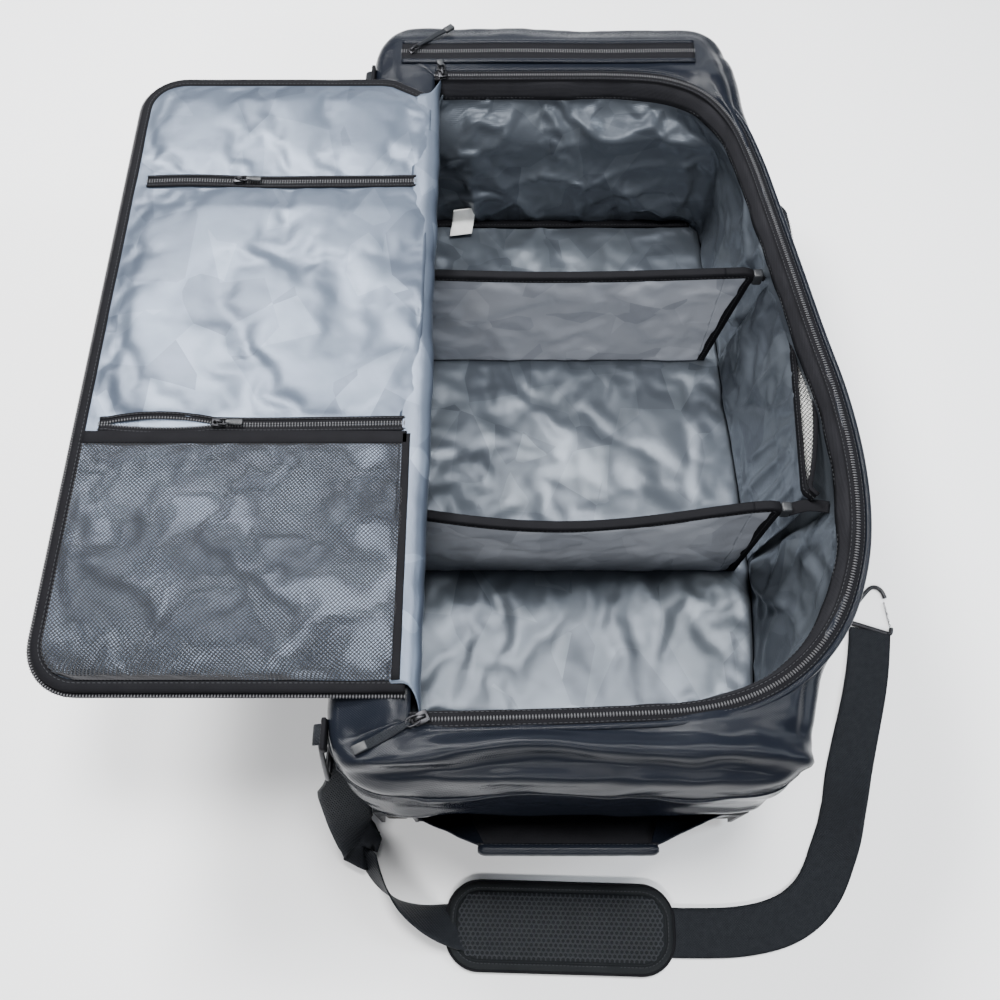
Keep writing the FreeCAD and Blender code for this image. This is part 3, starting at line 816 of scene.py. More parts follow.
def outline_loop(free_side):
    """The bag's plan, from the near left corner along the near end. free_side is a list, near end first."""
    x0, x1, y0, y1 = BASE_LOW.x, BASE_HIGH.x, BASE_LOW.y, BASE_HIGH.y
    loop = corner_arc(x0 + CORNER, y0 + CORNER, CORNER, 180, 270)
    loop += corner_arc(x1 - CORNER, y0 + CORNER, CORNER, 270, 355)
    loop += free_side
    loop += corner_arc(x1 - CORNER, y1 - CORNER, CORNER, 5, 90)
    loop += corner_arc(x0 + CORNER, y1 - CORNER, CORNER, 90, 180)
    return loop


def closed_even(loop, count):
    p = np.array(loop + [loop[0]], float)
    along = run_along(p)
    where = np.linspace(0, along[-1], count, endpoint=False)
    return np.stack([np.interp(where, along, p[:, k]) for k in range(2)], axis=1)


def soften(values, passes):
    for _ in range(passes):
        values = 0.25 * np.roll(values, 1, 0) + 0.5 * values + 0.25 * np.roll(values, -1, 0)
    return values


def right_of(loop):
    """The direction to the right of the way a closed plan runs, at each of its points."""
    ahead = unit(np.roll(loop, -1, 0) - np.roll(loop, 1, 0))
    return np.stack([ahead[:, 1], -ahead[:, 0]], axis=1)


def contours():
    """Matching points on the deck's edge, the base's edge and the mouth, with the outward direction."""
    free_side = [tuple(p) for p in smooth_path(RIM[::-1], 0.01)][2:-1]
    top = closed_even(outline_loop(free_side), int(2.75 / SKIN_STEP))
    top = soften(top, 4)
    base = top.copy()
    lean = top[:, 0] > BASE_HIGH.x - 0.002
    base[lean, 0] = BASE_HIGH.x
    base = soften(base, 4)
    mouth = smooth_path(MOUTH, 0.002)
    hinge = np.linspace(mouth[-1], mouth[0], 380)
    around = np.concatenate([mouth, hinge[1:-1]])
    gaps = np.linalg.norm(top[:, None] - around[None], axis=2)
    inner = around[np.argmin(gaps, axis=1)]
    inner = soften(inner, 3)
    return top, base, inner, right_of(top)


TOP, FOOT, INNER, OUTWARD = contours()


def skin_points():
    """Rows of the skin, from the mouth over the deck, down the wall and under the base."""
    rows = []
    wide = np.linalg.norm(TOP - INNER, axis=1)
    puff = np.clip(wide / 0.05, 0.25, 1.2) * 0.0055
    puff[TOP[:, 0] < BASE_LOW.x + 0.01] = 0.0
    for s in np.linspace(0, 1, 9):
        spot = INNER + (TOP - OUTWARD * EDGE - INNER) * s
        height = DECK - 0.0010 + puff * math.sin(math.pi * s) - 0.004 * s ** 3
        rows.append((spot, height))
    edge_z = DECK - 0.005
    for a in np.linspace(15, 80, 5):
        a = math.radians(a)
        spot = TOP - OUTWARD * EDGE * (1 - math.sin(a))
        rows.append((spot, np.full(len(TOP), edge_z - EDGE * (1 - math.cos(a)))))
    low = BASE_LOW.z + SKIRT
    high = edge_z - EDGE
    for t in np.linspace(0, 1, 28):
        spot = TOP + (FOOT - TOP) * t + OUTWARD * (0.006 * math.sin(math.pi * t) ** 0.7)
        rows.append((spot, np.full(len(TOP), high + (low - high) * t)))
    for a in np.linspace(20, 90, 5):
        a = math.radians(a)
        spot = FOOT - OUTWARD * SKIRT * (1 - math.cos(a))
        rows.append((spot, np.full(len(TOP), low - SKIRT * math.sin(a))))
    rows.append((FOOT - OUTWARD * (SKIRT + 0.02), np.full(len(TOP), BASE_LOW.z - 0.0004)))
    points = np.empty((len(rows), len(TOP), 3))
    for r, (spot, height) in enumerate(rows):
        points[r, :, :2] = spot
        points[r, :, 2] = height
    return points


def grid_normals(points):
    along = np.roll(points, -1, 1) - np.roll(points, 1, 1)
    down = np.gradient(points, axis=0)
    return unit(np.cross(along, down))


def bump_on(values, at, width):
    """A smooth bump of height 1 where the values pass a mark."""
    return np.exp(-((values - at) / width) ** 2)


def end_creases(points):
    """The big folds of the near end's padded edge, as heights along the surface's normal."""
    x, y, z = points[..., 0], points[..., 1], points[..., 2]
    near = np.clip((-0.375 - y) / 0.02, 0, 1) * np.clip((x + 0.12) / 0.03, 0, 1)
    line = -0.4165 + 0.0085 * np.sin((x + 0.09) / 0.37 * math.pi) + 0.003 * np.sin(x * 31.0)
    deck = near * np.clip((z - 0.28) / 0.02, 0, 1)
    move = -0.0085 * deck * bump_on(y, line, 0.0075)
    move += 0.0035 * deck * bump_on(y, line + 0.017, 0.010)
    move += 0.0055 * deck * bump_on(y, line - 0.016, 0.009)
    seam = 0.262 + 0.006 * np.sin(x * 17.0)
    wall = near * np.clip((-0.43 - y) / 0.005, 0, 1)
    move -= 0.0045 * wall * bump_on(z, seam, 0.0035)
    sag = 0.165 + 0.02 * np.sin(x * 9.0 + 1.0)
    move -= 0.006 * wall * bump_on(z, sag, 0.012)
    move += 0.004 * wall * bump_on(z, sag - 0.03, 0.02)
    return move


def fold_field(points):
    """Folds of the padded walls: broad swells, and long creases that slant down the sides."""
    flat = points.reshape(-1, 3)
    rows, cols = points.shape[:2]
    x, y, z = flat.T
    on_end = np.clip((np.abs(y) - 0.40) / 0.03, 0, 1)
    stretched = np.stack([x * (1 - 0.55 * on_end), y * 0.5, z * (0.55 + 0.9 * on_end)], axis=1)
    broad = wobble(stretched, 0.21, 3, 1)
    slanted = np.stack([x * 0.7 + 0.5 * z, y * 0.7 + 0.6 * z, z * (0.28 + 0.8 * on_end)], axis=1)
    sharp = creases(slanted, 0.115, 5)
    move = 0.0048 * broad - 0.0042 * sharp
    return move.reshape(rows, cols)


def cut_window(obj, low, high):
    """Opens a hole with straight edges in the faces inside a box."""
    reach = 0.03         # faces this near the box are cut at its sides
    slack = 1e-5
    work = bmesh.new()
    work.from_mesh(obj.data)
    for axis in range(3):
        for value in (low[axis], high[axis]):
            normal = [0, 0, 0]
            normal[axis] = 1
            where = [0, 0, 0]
            where[axis] = value
            near = [f for f in work.faces
                    if all(low[k] - reach < f.calc_center_median()[k] < high[k] + reach for k in range(3))]
            parts = near + list({e for f in near for e in f.edges}) + list({v for f in near for v in f.verts})
            bmesh.ops.bisect_plane(work, geom=parts, plane_co=where, plane_no=normal)
    gone = [f for f in work.faces
            if all(low[k] - slack < f.calc_center_median()[k] < high[k] + slack for k in range(3))]
    bmesh.ops.delete(work, geom=gone, context="FACES")
    work.to_mesh(obj.data)
    work.free()


WHEEL_OPENING = 0.0225        # half the width left open at each wheel
BEZEL_OPENING = 0.1015        # half the width left open at the pull handle


def cut_openings(obj):
    """Leaves room for the wheels at the near end and for the pull handle at the far end."""
    for middle in WHEEL_X:
        cut_window(obj, (middle - WHEEL_OPENING, -0.47, -0.02), (middle + WHEEL_OPENING, -0.339, 0.0985))
    cut_window(obj, (MIDDLE_X - BEZEL_OPENING, 0.44, 0.0255), (MIDDLE_X + BEZEL_OPENING, 0.52, 0.0685))


def make_skin_seams(points, normals):
    """Welted seams sewn round the walls, with their stitching."""
    rows = (("upper_wall_seam", 17, 0.0021, TPU, "outer_shell", 0.0038),
            ("foot_seam", 40, 0.0026, BINDING, "binding", 0.0045))
    for name, row, radius, material, slot, gap in rows:
        path = points[row] + normals[row] * 0.0010
        seam = sweep(name, path, normals[row], round_profile(radius, 10), material, closed=True)
        if slot == "binding":
            cut_openings(seam)
        place_split(seam, "bag", slot, name + "_free_side")
        line = np.concatenate([points[row], points[row][:1]])
        ups = np.concatenate([normals[row], normals[row][:1]])
        down = unit(np.concatenate([points[row + 1], points[row + 1][:1]]) - line)
        stitches = stitch_row(name + "_stitches", line + down * gap + ups * 0.0009, ups, 0.0052,
                              (0.0009, 0.0034, 0.0008))
        if slot == "binding":
            cut_openings(stitches)
        place_split(stitches, "bag", slot, name + "_stitches_free_side")


def zip_channel(points):
    """How firmly the stiff zip tape holds the cloth flat at each point: 1 on the end zip, 0 away from it."""
    low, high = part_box("end_pocket_zip")
    middle = (low.y + high.y) / 2
    near_line = np.clip(1.9 - np.abs(points[..., 1] - middle) / 0.020, 0, 1)
    past_end = np.maximum(low.x - points[..., 0], points[..., 0] - high.x)
    ends = np.clip(1.0 - past_end / 0.020, 0, 1)
    return near_line * ends * (points[..., 2] > DECK - 0.007)


def make_skin():
    points = skin_points()
    rows = points.shape[0]
    normals = grid_normals(points)
    amount = np.ones(rows)
    amount[0] = 0.0
    amount[1] = 0.35
    amount[-4:] = (0.3, 0.15, 0.0, 0.0)
    quiet = np.clip((points[..., 0] + 0.105) / 0.02, 0, 1)
    quiet = np.where(points[..., 2] > DECK - 0.03, quiet, 1.0)
    move = (fold_field(points) * quiet + end_creases(points)) * amount[:, None]
    bezel = bump_on(points[..., 2], 0.047, 0.035) * np.clip((points[..., 1] - 0.465) / 0.01, 0, 1)
    move *= 1 - bezel
    points += normals * move[..., None]
    skin = sheet_object("outer_skin", points, TPU, closed=True)
    hold = np.zeros(points.shape[:2])
    hold[:2] = 1.0
    hold[-4:] = 1.0
    hold[bezel > 0.3] = 1.0
    hold[(points[..., 2] > DECK - 0.03) & (points[..., 0] < -0.05) & (np.abs(points[..., 1]) < 0.36)] = 1.0
    crumple(skin, hold.ravel(), 0.013, 0.0080, frames=14, bend=14.0, seed=7, outward=normals.reshape(-1, 3),
            most=0.0055, quality=3)
    fix_normals(skin)
    lines = coordinates(skin).reshape(points.shape)
    lines[..., 2] += (DECK + 0.0008 - lines[..., 2]) * zip_channel(lines)
    set_coordinates(skin, lines)
    make_skin_seams(lines, normals)
    subdivide(skin, 1)
    cut_openings(skin)
    thicken(skin, 0.0012)
    place_split(skin, "bag", "outer_shell", "outer_skin_free_side", "left_wall", "near_end_wall",
                "far_end_wall", "right_wall", "mouth_surround", "far_pocket_top")


make_skin()


# ================= lid =================
LID_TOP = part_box("lid_lining")[1].z
LID_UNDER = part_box("lid_outer_panel")[0].z
UPPER_ZIP_Y = 0.212
MESH_ZIP_Y = -0.098
POCKET_LEFT = -0.361
POCKET_RIGHT = -0.058
NET_TOP_Y = -0.105


def lid_path(inset, step=0.004):
    """The lid's zipped edge, from the near end of the hinge round to the far end, moved in by inset."""
    x0, y0, y1 = LID_LOW.x + inset, LID_LOW.y + inset, LID_HIGH.y - inset
    r = LID_CORNER - inset
    loop = [(LID_HIGH.x, y0), (LID_HIGH.x - 0.05, y0)]
    loop += corner_arc(x0 + r, y0 + r, r, 270, 180)
    loop += corner_arc(x0 + r, y1 - r, r, 180, 90)
    loop += [(-0.108, y1), (-0.092, y1 - 0.002), (LID_HIGH.x, y1 - TAPER)]
    return even_path([(x, y, 0.0) for x, y in loop], step)


def lid_grid(inset, step, right):
    """Rows of plan points that fill the lid's outline, near end first."""
    x0, y0, y1 = LID_LOW.x + inset, LID_LOW.y + inset, LID_HIGH.y - inset
    r = LID_CORNER - inset
    count_y = int((y1 - y0) / step)
    count_x = int((right - x0) / step)
    v, u = np.meshgrid(np.linspace(0, 1, count_y), np.linspace(0, 1, count_x), indexing="ij")
    y = y0 + v * (y1 - y0)
    into = np.clip(r - np.minimum(y - y0, y1 - y), 0, r)
    left = x0 + r - np.sqrt(np.maximum(r * r - into * into, 0))
    x = left + u * (right - left)
    back = np.clip((x + 0.100) / 0.050, 0, 1) * TAPER
    y = y - back * np.clip((v - 0.85) / 0.15, 0, 1)
    return x, y, u, v


def make_lid_lining():
    x, y, u, v = lid_grid(0.013, 0.0055, -0.047)
    rim = np.minimum(np.minimum(u, 1) * 0.33, np.minimum(v, 1 - v) * 0.72)
    to_zip = np.minimum(np.abs(y - UPPER_ZIP_Y), np.abs(y - MESH_ZIP_Y))
    loose = np.clip(np.minimum(rim, to_zip - 0.010) / 0.03, 0, 1)
    net = np.clip((NET_TOP_Y - y) / 0.02, 0, 1)
    lift = loose * (0.0035 + 0.0010 * np.sin(y * 21)) * (1 - 0.9 * net)
    points = np.stack([x, y, LID_TOP - 0.0002 + lift], axis=-1)
    # the lid's cloth takes the bluer copy of the satin, with its painted skylight
    lining = sheet_object("lid_lining_cloth", points, LID_LINING_PAINTED_SKYLIGHT)
    hold = np.ones_like(x)
    hold[2:-2, 2:] = 0.0
    hold[to_zip < 0.0085] = 1.0
    hold[(np.abs(u - 1) < 1e-6)] = 1.0
    crumple(lining, hold.ravel(), 0.013, 0.0036, frames=22, bend=0.6, seed=2)
    co = coordinates(lining)
    low = LID_TOP - 0.0006
    ceiling = np.where(co[:, 1] < -0.10, 0.0022, 0.0090)
    co[:, 2] = low + np.clip(co[:, 2] - low, 0.0001, ceiling)
    set_coordinates(lining, co)
    subdivide(lining, 1)
    thicken(lining, 0.0008)
    place(lining, "lid", "lid_lining", "lid_lining")


def make_lid_shell():
    x, y, u, v = lid_grid(0.006, 0.009, -0.050)
    edge = np.clip(np.minimum(u * 0.33, np.minimum(v, 1 - v) * 0.74) / 0.03, 0, 1)
    over_bag = np.clip((x + 0.150) / 0.02, 0, 1)
    sag = edge * (1 - over_bag) * 0.0055
    points = np.stack([x, y, LID_UNDER + 0.0004 - sag], axis=-1)
    flat = points.reshape(-1, 3)
    folds = (0.0022 * wobble(flat, 0.11, 21, 2) - 0.0025 * creases(flat * np.array([1.6, 0.8, 1]), 0.08, 22))
    points[..., 2] += (folds.reshape(x.shape)) * edge * (1 - over_bag)
    shell = sheet_object("lid_shell", points, TPU)
    finish_cloth(shell, 0.0014, 0.0)
    place(shell, "lid", "outer_shell", "lid_outer_panel")


def make_lid_edge():
    band = raised(lid_path(0.0100), LID_UNDER + 0.0030)
    wave = wobble(band, 0.06, 31, 2)[:, None] * np.array([0.0005, 0.0005, 0.0003])
    profile = [(-0.0056, -0.0012), (-0.0048, -0.0030), (0.0050, -0.0030), (0.0060, -0.0010), (0.0058, 0.0012),
               (0.0046, 0.0030), (0.0010, 0.0036), (-0.0040, 0.0033), (-0.0056, 0.0014)]
    binding = sweep("lid_edge_binding", band + wave, UP, profile, BINDING)
    place(binding, "lid", "binding", "lid_binding")
    seam_path = raised(lid_path(0.0125), LID_UNDER + 0.0066)
    seam = stitch_row("lid_binding_stitches", seam_path, UP)
    place(seam, "lid", "binding")
    tape = sweep("lid_zip_tape", raised(lid_path(0.0045), LID_UNDER + 0.0010), UP,
                 flat_profile(-0.0040, 0.0030, -0.0005, 0.0005), BINDING)
    place(tape, "lid", "zip", "lid_zip")
    teeth = teeth_row("lid_zip_teeth", raised(lid_path(0.0018, 0.001), LID_UNDER + 0.0016))
    place(teeth, "lid", "zip")


def pocket_line(x0, x1, y, opening, step=0.004):
    """The two edges of a pocket zip; opening gives how far they stand apart at each X."""
    x = np.arange(x0, x1, step)
    wave = 0.0012 * np.sin((x - x0) * 27.0)
    gap = opening(x)
    z = LID_TOP + 0.0012 + 0.0007 * np.sin((x - x0) * 41.0)
    return (np.stack([x, y + wave + gap, z], axis=1), np.stack([x, y + wave - gap, z], axis=1))


def make_pocket_zip(name, y, opening, node):
    upper, lower = pocket_line(POCKET_LEFT, POCKET_RIGHT, y, opening)
    parts = []
    for line, way in ((upper, -1), (lower, 1)):
        left, right = sorted((way * 0.0004, way * 0.0072))
        parts.append(sweep("tape", line, UP, flat_profile(left, right, -0.0006, 0.0004), BINDING))
        hem = line + np.array([0, -way * 0.0066, 0.0003])
        parts.append(sweep("hem", hem, UP, flat_profile(-0.0016, 0.0016, -0.0006, 0.0010), BINDING))
    tape = join(name + "_tape", parts)
    place(tape, "lid", "zip", node)
    rows = []
    for line, way in ((upper, -1), (lower, 1)):
        rows.append(teeth_row("teeth", line + np.array([0, 0, 0.0006]), width=0.0028, height=0.0016,
                              shift=way * 0.0012))
    place(join(name + "_teeth", rows), "lid", "zip")
    seams = []
    for line, way in ((upper, -1), (lower, 1)):
        seams.append(stitch_row("seam", line + np.array([0, -way * 0.0062, 0.0014]), UP, 0.004))
    place(join(name + "_stitches", seams), "lid", "zip")


def closed_zip(x):
    return np.zeros_like(x)


def half_open_zip(x):
    share = np.clip((x + 0.352) / (-0.250 + 0.352), 0, 1)
    return 0.0046 * np.sin(math.pi * share) ** 0.8


NET_PITCH = 0.0019           # half the width of one opening
NET_THREAD = 0.00046         # half the width of one thread


def net_surface():
    """Points of the net's coarse sheet, rows near end first."""
    x, y = lid_grid(0.015, 0.006, POCKET_RIGHT)[:2]
    keep = y[:, x.shape[1] // 2] < -0.104
    x, y = x[keep], y[keep]
    z = np.full_like(x, LID_TOP + 0.0022)
    points = np.stack([x, y, z], axis=-1)
    rows, cols = x.shape
    sheet = sheet_object("net_sheet", points, NET)
    hold = hemmed((rows, cols))
    hold[-3:] = 1.0
    crumple(sheet, hold.ravel(), 0.035, 0.0065, frames=24, bend=0.05, seed=5)
    co = coordinates(sheet)
    bpy.data.objects.remove(sheet)
    low = LID_TOP + 0.0020
    co[:, 2] = low + np.clip(co[:, 2] - low, 0, 0.010)
    return co.reshape(rows, cols, 3)


def read_grid(grid, u, v):
    """Points of a grid at shares u across and v along it."""
    rows, cols = grid.shape[:2]
    a = np.clip(v, 0, 1) * (rows - 1.001)
    b = np.clip(u, 0, 1) * (cols - 1.001)
    i, j = a.astype(int), b.astype(int)
    s, t = (a - i)[..., None], (b - j)[..., None]
    return ((grid[i, j] * (1 - t) + grid[i, j + 1] * t) * (1 - s)
            + (grid[i + 1, j] * (1 - t) + grid[i + 1, j + 1] * t) * s)


def thread_faces(count):
    """Faces of threads whose triangular ends are listed one after the other, six points to a thread."""
    first = np.arange(count)[:, None] * 6
    faces = []
    for quad in ((0, 1, 4, 3), (1, 2, 5, 4), (2, 0, 3, 5)):
        faces.extend(map(tuple, (first + np.array(quad)).tolist()))
    return faces


def net_mesh(name, grid, width, height, pitch, thread):
    """A diamond net as real threads, laid on a grid of points."""
    cols = int(width / pitch)
    rows = int(height / pitch)
    verts = []
    j, i = np.meshgrid(np.arange(rows + 1), np.arange(cols + 1), indexing="ij")
    knots = read_grid(grid, i / cols, j / rows)
    ends = []
    for r in range(rows + 1):
        for c in range(cols + 1):
            if (r + c) % 2:
                continue
            for dc in (-1, 1):
                if r < rows and 0 <= c + dc <= cols:
                    ends.append((knots[r, c], knots[r + 1, c + dc]))
    ends = np.array(ends)
    a, b = ends[:, 0], ends[:, 1]
    along = unit(b - a)
    across = unit(np.cross(along, np.array(UP, float)))
    over = np.cross(across, along)
    for end in (a, b):
        for s, t in ((-1, -0.6), (1, -0.6), (0, 0.9)):
            verts.append(end + across * thread * s + over * thread * t)
    stacked = np.stack(verts, axis=1)
    return new_object(name, stacked.reshape(-1, 3), thread_faces(len(ends)), NET)


def make_net_pocket():
    grid = net_surface()
    width = POCKET_RIGHT - LINING_LOW.x
    height = NET_TOP_Y - LINING_LOW.y
    net = net_mesh("net_pocket", grid, width, height, NET_PITCH, NET_THREAD)
    place(net, "lid", "mesh", "mesh_pocket")
    side = grid[:, -1] + np.array([0.0, 0.0, 0.0004])
    hem = sweep("net_side_tape", side, UP, flat_profile(-0.004, 0.004, -0.0006, 0.0008), BINDING)
    place(hem, "lid", "binding")
    top = grid[-1] + np.array([0.0, -0.004, 0.0004])
    hem = sweep("net_top_hem", top, UP, flat_profile(-0.007, 0.006, -0.0006, 0.0008), BINDING)
    place(hem, "lid", "binding")


make_lid_lining()
make_lid_shell()
make_lid_edge()
make_pocket_zip("upper_pocket", UPPER_ZIP_Y, closed_zip, "upper_pocket_zip")
make_pocket_zip("mesh_pocket_opening", MESH_ZIP_Y, half_open_zip, "mesh_pocket_zip")
make_net_pocket()


# ================= inside of the bag =================
LINING_GAP = 0.0065          # from the outer face of a wall to the lining's face
STEP_Y = -0.340              # the floor steps up over the wheels here
STEP_RISE = 0.0130
FLOOR_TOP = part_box("floor_panel")[0].z + 0.0062
FACING_Z = 0.287
DIVIDER_HALF = 0.004         # half a divider's thickness
WALL_LOW_Z = BASE_LOW.z + 0.004
WALL_HIGH_Z = DECK - 0.004


def floor_height(y):
    share = np.clip((-y + STEP_Y + 0.006) / 0.010, 0, 1)
    return FLOOR_TOP + 0.0006 + STEP_RISE * share * share * (3 - 2 * share)


def free_wall(y, z):
    """X of the free side's outer face."""
    rim = np.array(RIM)[::-1]
    top = np.interp(y, rim[:, 1], rim[:, 0])
    lean = np.clip((z - WALL_LOW_Z) / (WALL_HIGH_Z - WALL_LOW_Z), 0, 1)
    return BASE_HIGH.x + (top - BASE_HIGH.x) * lean


def room_loop(count):
    """Plan of the main space at the foot of its walls, and how far each point follows the bulge."""
    x0, x1 = BASE_LOW.x + 0.0058, BASE_HIGH.x - LINING_GAP
    y0, y1 = BASE_LOW.y + LINING_GAP, BULKHEAD - 0.0025
    r, s = 0.044, 0.030
    loop = corner_arc(x0 + r, y0 + r, r, 180, 270)
    loop += corner_arc(x1 - r, y0 + r, r, 270, 360)
    loop += corner_arc(x1 - s, y1 - s, s, 0, 90)
    loop += corner_arc(x0 + s, y1 - s, s, 90, 180)
    plan = closed_even(loop, count)
    bulge = np.clip((plan[:, 0] - (x1 - 0.06)) / 0.05, 0, 1)
    bulge = soften(bulge[:, None], 4)[:, 0]
    return plan, bulge


def mouth_loop():
    """The mouth's line and the direction into the opening, closed along the hinge."""
    line = smooth_path(MOUTH, 0.002)
    hinge = np.linspace(line[-1], line[0], 380)[1:-1]
    around = np.concatenate([line, hinge])
    around = soften(around, 5)
    return around, right_of(around)


def inside_frames(count):
    """The room's plan with its bulge, and for each point the mouth's line and direction beside it."""
    plan, bulge = room_loop(count)
    around, inward = mouth_loop()
    reach = np.stack([plan[:, 0] + bulge * (free_wall(plan[:, 1], 0.30) - BASE_HIGH.x), plan[:, 1]], axis=1)
    left = np.clip((0.10 - plan[:, 0]) / (0.10 - plan[:, 0].min()), 0, 1)
    far = np.clip((plan[:, 1] - 0.2) / (plan[:, 1].max() - 0.2), 0, 1)
    near = np.clip((-0.2 - plan[:, 1]) / (-0.2 - plan[:, 1].min()), 0, 1)
    reach[:, 0] += left * (MOUTH[0][0] - plan[:, 0].min())
    reach[:, 1] += far * (MOUTH[0][1] - plan[:, 1].max()) + near * (MOUTH[-1][1] - plan[:, 1].min())
    nearest = np.argmin(np.linalg.norm(reach[:, None] - around[None], axis=2), axis=1)
    return plan, bulge, soften(around[nearest], 3), unit(soften(inward[nearest], 3))


def make_facing():
    around, inward = mouth_loop()
    zipped = around[:, 0] > MOUTH[0][0] + 0.0012
    start = int(np.argmax(zipped & ~np.roll(zipped, 1)))
    around, inward = np.roll(around, -start, 0)[:zipped.sum():3], np.roll(inward, -start, 0)[:zipped.sum():3]
    rows = []
    for reach, height in ((-0.004, 0.3098), (0.002, 0.3096), (0.0060, 0.3060), (0.0085, 0.2990),
                          (0.0105, 0.2920), (0.0115, FACING_Z - 0.002)):
        rows.append(np.column_stack([around + inward * reach, np.full(len(around), height)]))
    points = np.stack(rows)
    wave = wobble(points.reshape(-1, 3) * np.array([1, 1, 0.4]), 0.05, 41, 2).reshape(points.shape[:2])
    points[2:, :, :2] += inward[None] * (0.0022 * wave[2:, :, None])
    facing = sheet_object("mouth_facing", points, FACING)
    fix_normals(facing)
    thicken(facing, 0.0014, 0.0)
    place_split(facing, "bag", "binding", "mouth_facing_free_side")
    seam_path = np.column_stack([around + inward * 0.0118, np.full(len(around), FACING_Z + 0.001)])
    seam = stitch_row("facing_stitches", seam_path, UP, 0.005)
    place_split(seam, "bag", "binding", "facing_stitches_free_side")


def make_wall_lining():
    plan, bulge, mouth, inward = inside_frames(400)
    rows = []
    outs = []
    heights = np.concatenate([[FACING_Z + 0.005, FACING_Z - 0.004], np.linspace(FACING_Z - 0.011, 0, 34)])
    at_hinge = np.clip((MOUTH[0][0] + 0.012 - mouth[:, 0]) / 0.008, 0, 1)[:, None]
    foot = floor_height(plan[:, 1]) + 0.0006
    out = right_of(plan)
    for k, h in enumerate(heights):
        share = (FACING_Z - h) / FACING_Z
        z = np.full(len(plan), h) if k < 2 else FACING_Z + (foot - FACING_Z) * share
        wall_x = plan[:, 0] + bulge * (free_wall(plan[:, 1], z) - BASE_HIGH.x)
        wall = np.stack([wall_x, plan[:, 1]], axis=1)
        start = mouth + inward * ((0.0060 if k == 0 else 0.0090) * (1 - at_hinge) + 0.0050 * at_hinge)
        t = np.clip((FACING_Z - z) / 0.060, 0, 1)[:, None]
        t = t * t * (3 - 2 * t)
        rows.append(np.column_stack([start + (wall - start) * t, z]))
        outs.append(np.column_stack([out, np.zeros(len(out))]))
    points = np.stack(rows)
    normals = np.stack(outs).reshape(-1, 3)
    flat = points.reshape(-1, 3)
    folds = creases(flat * np.array([1.0, 1.0, 0.45]) + flat[:, [2, 2, 0]] * 0.4, 0.085, 43)
    folds += 0.6 * creases(flat * np.array([0.6, 0.6, 1.0]) - flat[:, [2, 2, 1]] * 0.5, 0.060, 44)
    share = np.linspace(0, 1, points.shape[0])[:, None]
    behind_pocket = (points[..., 0] > 0.300) & (np.abs(points[..., 1] + 0.0185) < 0.145)
    loose = np.clip(share / 0.15, 0, 1) * np.clip((1 - share) / 0.12, 0, 1) * (1 - behind_pocket)
    points -= (normals * folds[:, None]).reshape(points.shape) * (0.0075 * loose[..., None])
    lining = sheet_object("main_lining_cloth", points, LINING, closed=True)
    hold = np.zeros(points.shape[:2])
    hold[:2] = 1.0
    hold[-1] = 1.0
    tacked = wobble(flat, 0.045, 45, 1).reshape(points.shape[:2])
    hold[tacked < -0.42] = 1.0
    hold[behind_pocket] = 1.0
    crumple(lining, hold.ravel(), 0.070, 0.0150, frames=20, bend=0.10, seed=11, outward=normals, most=0.0012)
    finish_cloth(lining, 0.0008, 0.0)
    place_split(lining, "bag", "main_lining", "main_lining_free_side", "main_lining", "far_bulkhead")


def make_floor_lining():
    y = np.linspace(BASE_LOW.y + 0.0095, BULKHEAD - 0.003, 98)
    rows = []
    for at in y:
        into = max(0.0, (BASE_LOW.y + 0.045) - at)
        pull = 0.040 - math.sqrt(max(0.040 ** 2 - min(into, 0.040) ** 2, 0))
        wall = float(free_wall(at, floor_height(at))) - LINING_GAP - 0.001
        x = np.linspace(BASE_LOW.x + 0.0065 + pull, max(wall, BASE_HIGH.x - 0.0075) - pull, 56)
        rows.append(np.stack([x, np.full_like(x, at), np.full_like(x, floor_height(at))], axis=1))
    points = np.stack(rows)
    cloth = sheet_object("floor_lining", points, LINING)
    hold = hemmed(points.shape[:2])
    for at in (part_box("far_divider")[0].y + DIVIDER_HALF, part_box("near_divider")[0].y + DIVIDER_HALF):
        hold[np.argmin(np.abs(y - at))] = 0.8
    down = np.tile((0.0, 0.0, -1.0), (points.shape[0] * points.shape[1], 1))
    crumple(cloth, hold.ravel(), 0.026, 0.0075, frames=24, bend=0.25, seed=15, outward=down, most=0.0)
    finish_cloth(cloth, 0.0010)
    place_split(cloth, "bag", "main_lining", "floor_lining_free_side", "floor_panel")


def make_floor_bindings():
    z = FLOOR_TOP + 0.0035
    far = [(BASE_LOW.x + 0.012, BULKHEAD - 0.008, z), (0.090, BULKHEAD - 0.010, z + 0.001),
           (BASE_HIGH.x - 0.018, BULKHEAD - 0.008, z)]
    line = smooth_path(far, 0.006)
    band = sweep("floor_far_binding", line, UP, flat_profile(-0.006, 0.006, -0.0025, 0.0022), BINDING)
    place(band, "bag", "binding")
    seam_path = line + np.array([0, -0.003, 0.0024])
    seam = stitch_row("floor_far_stitches", seam_path, UP)
    place(seam, "bag", "binding")


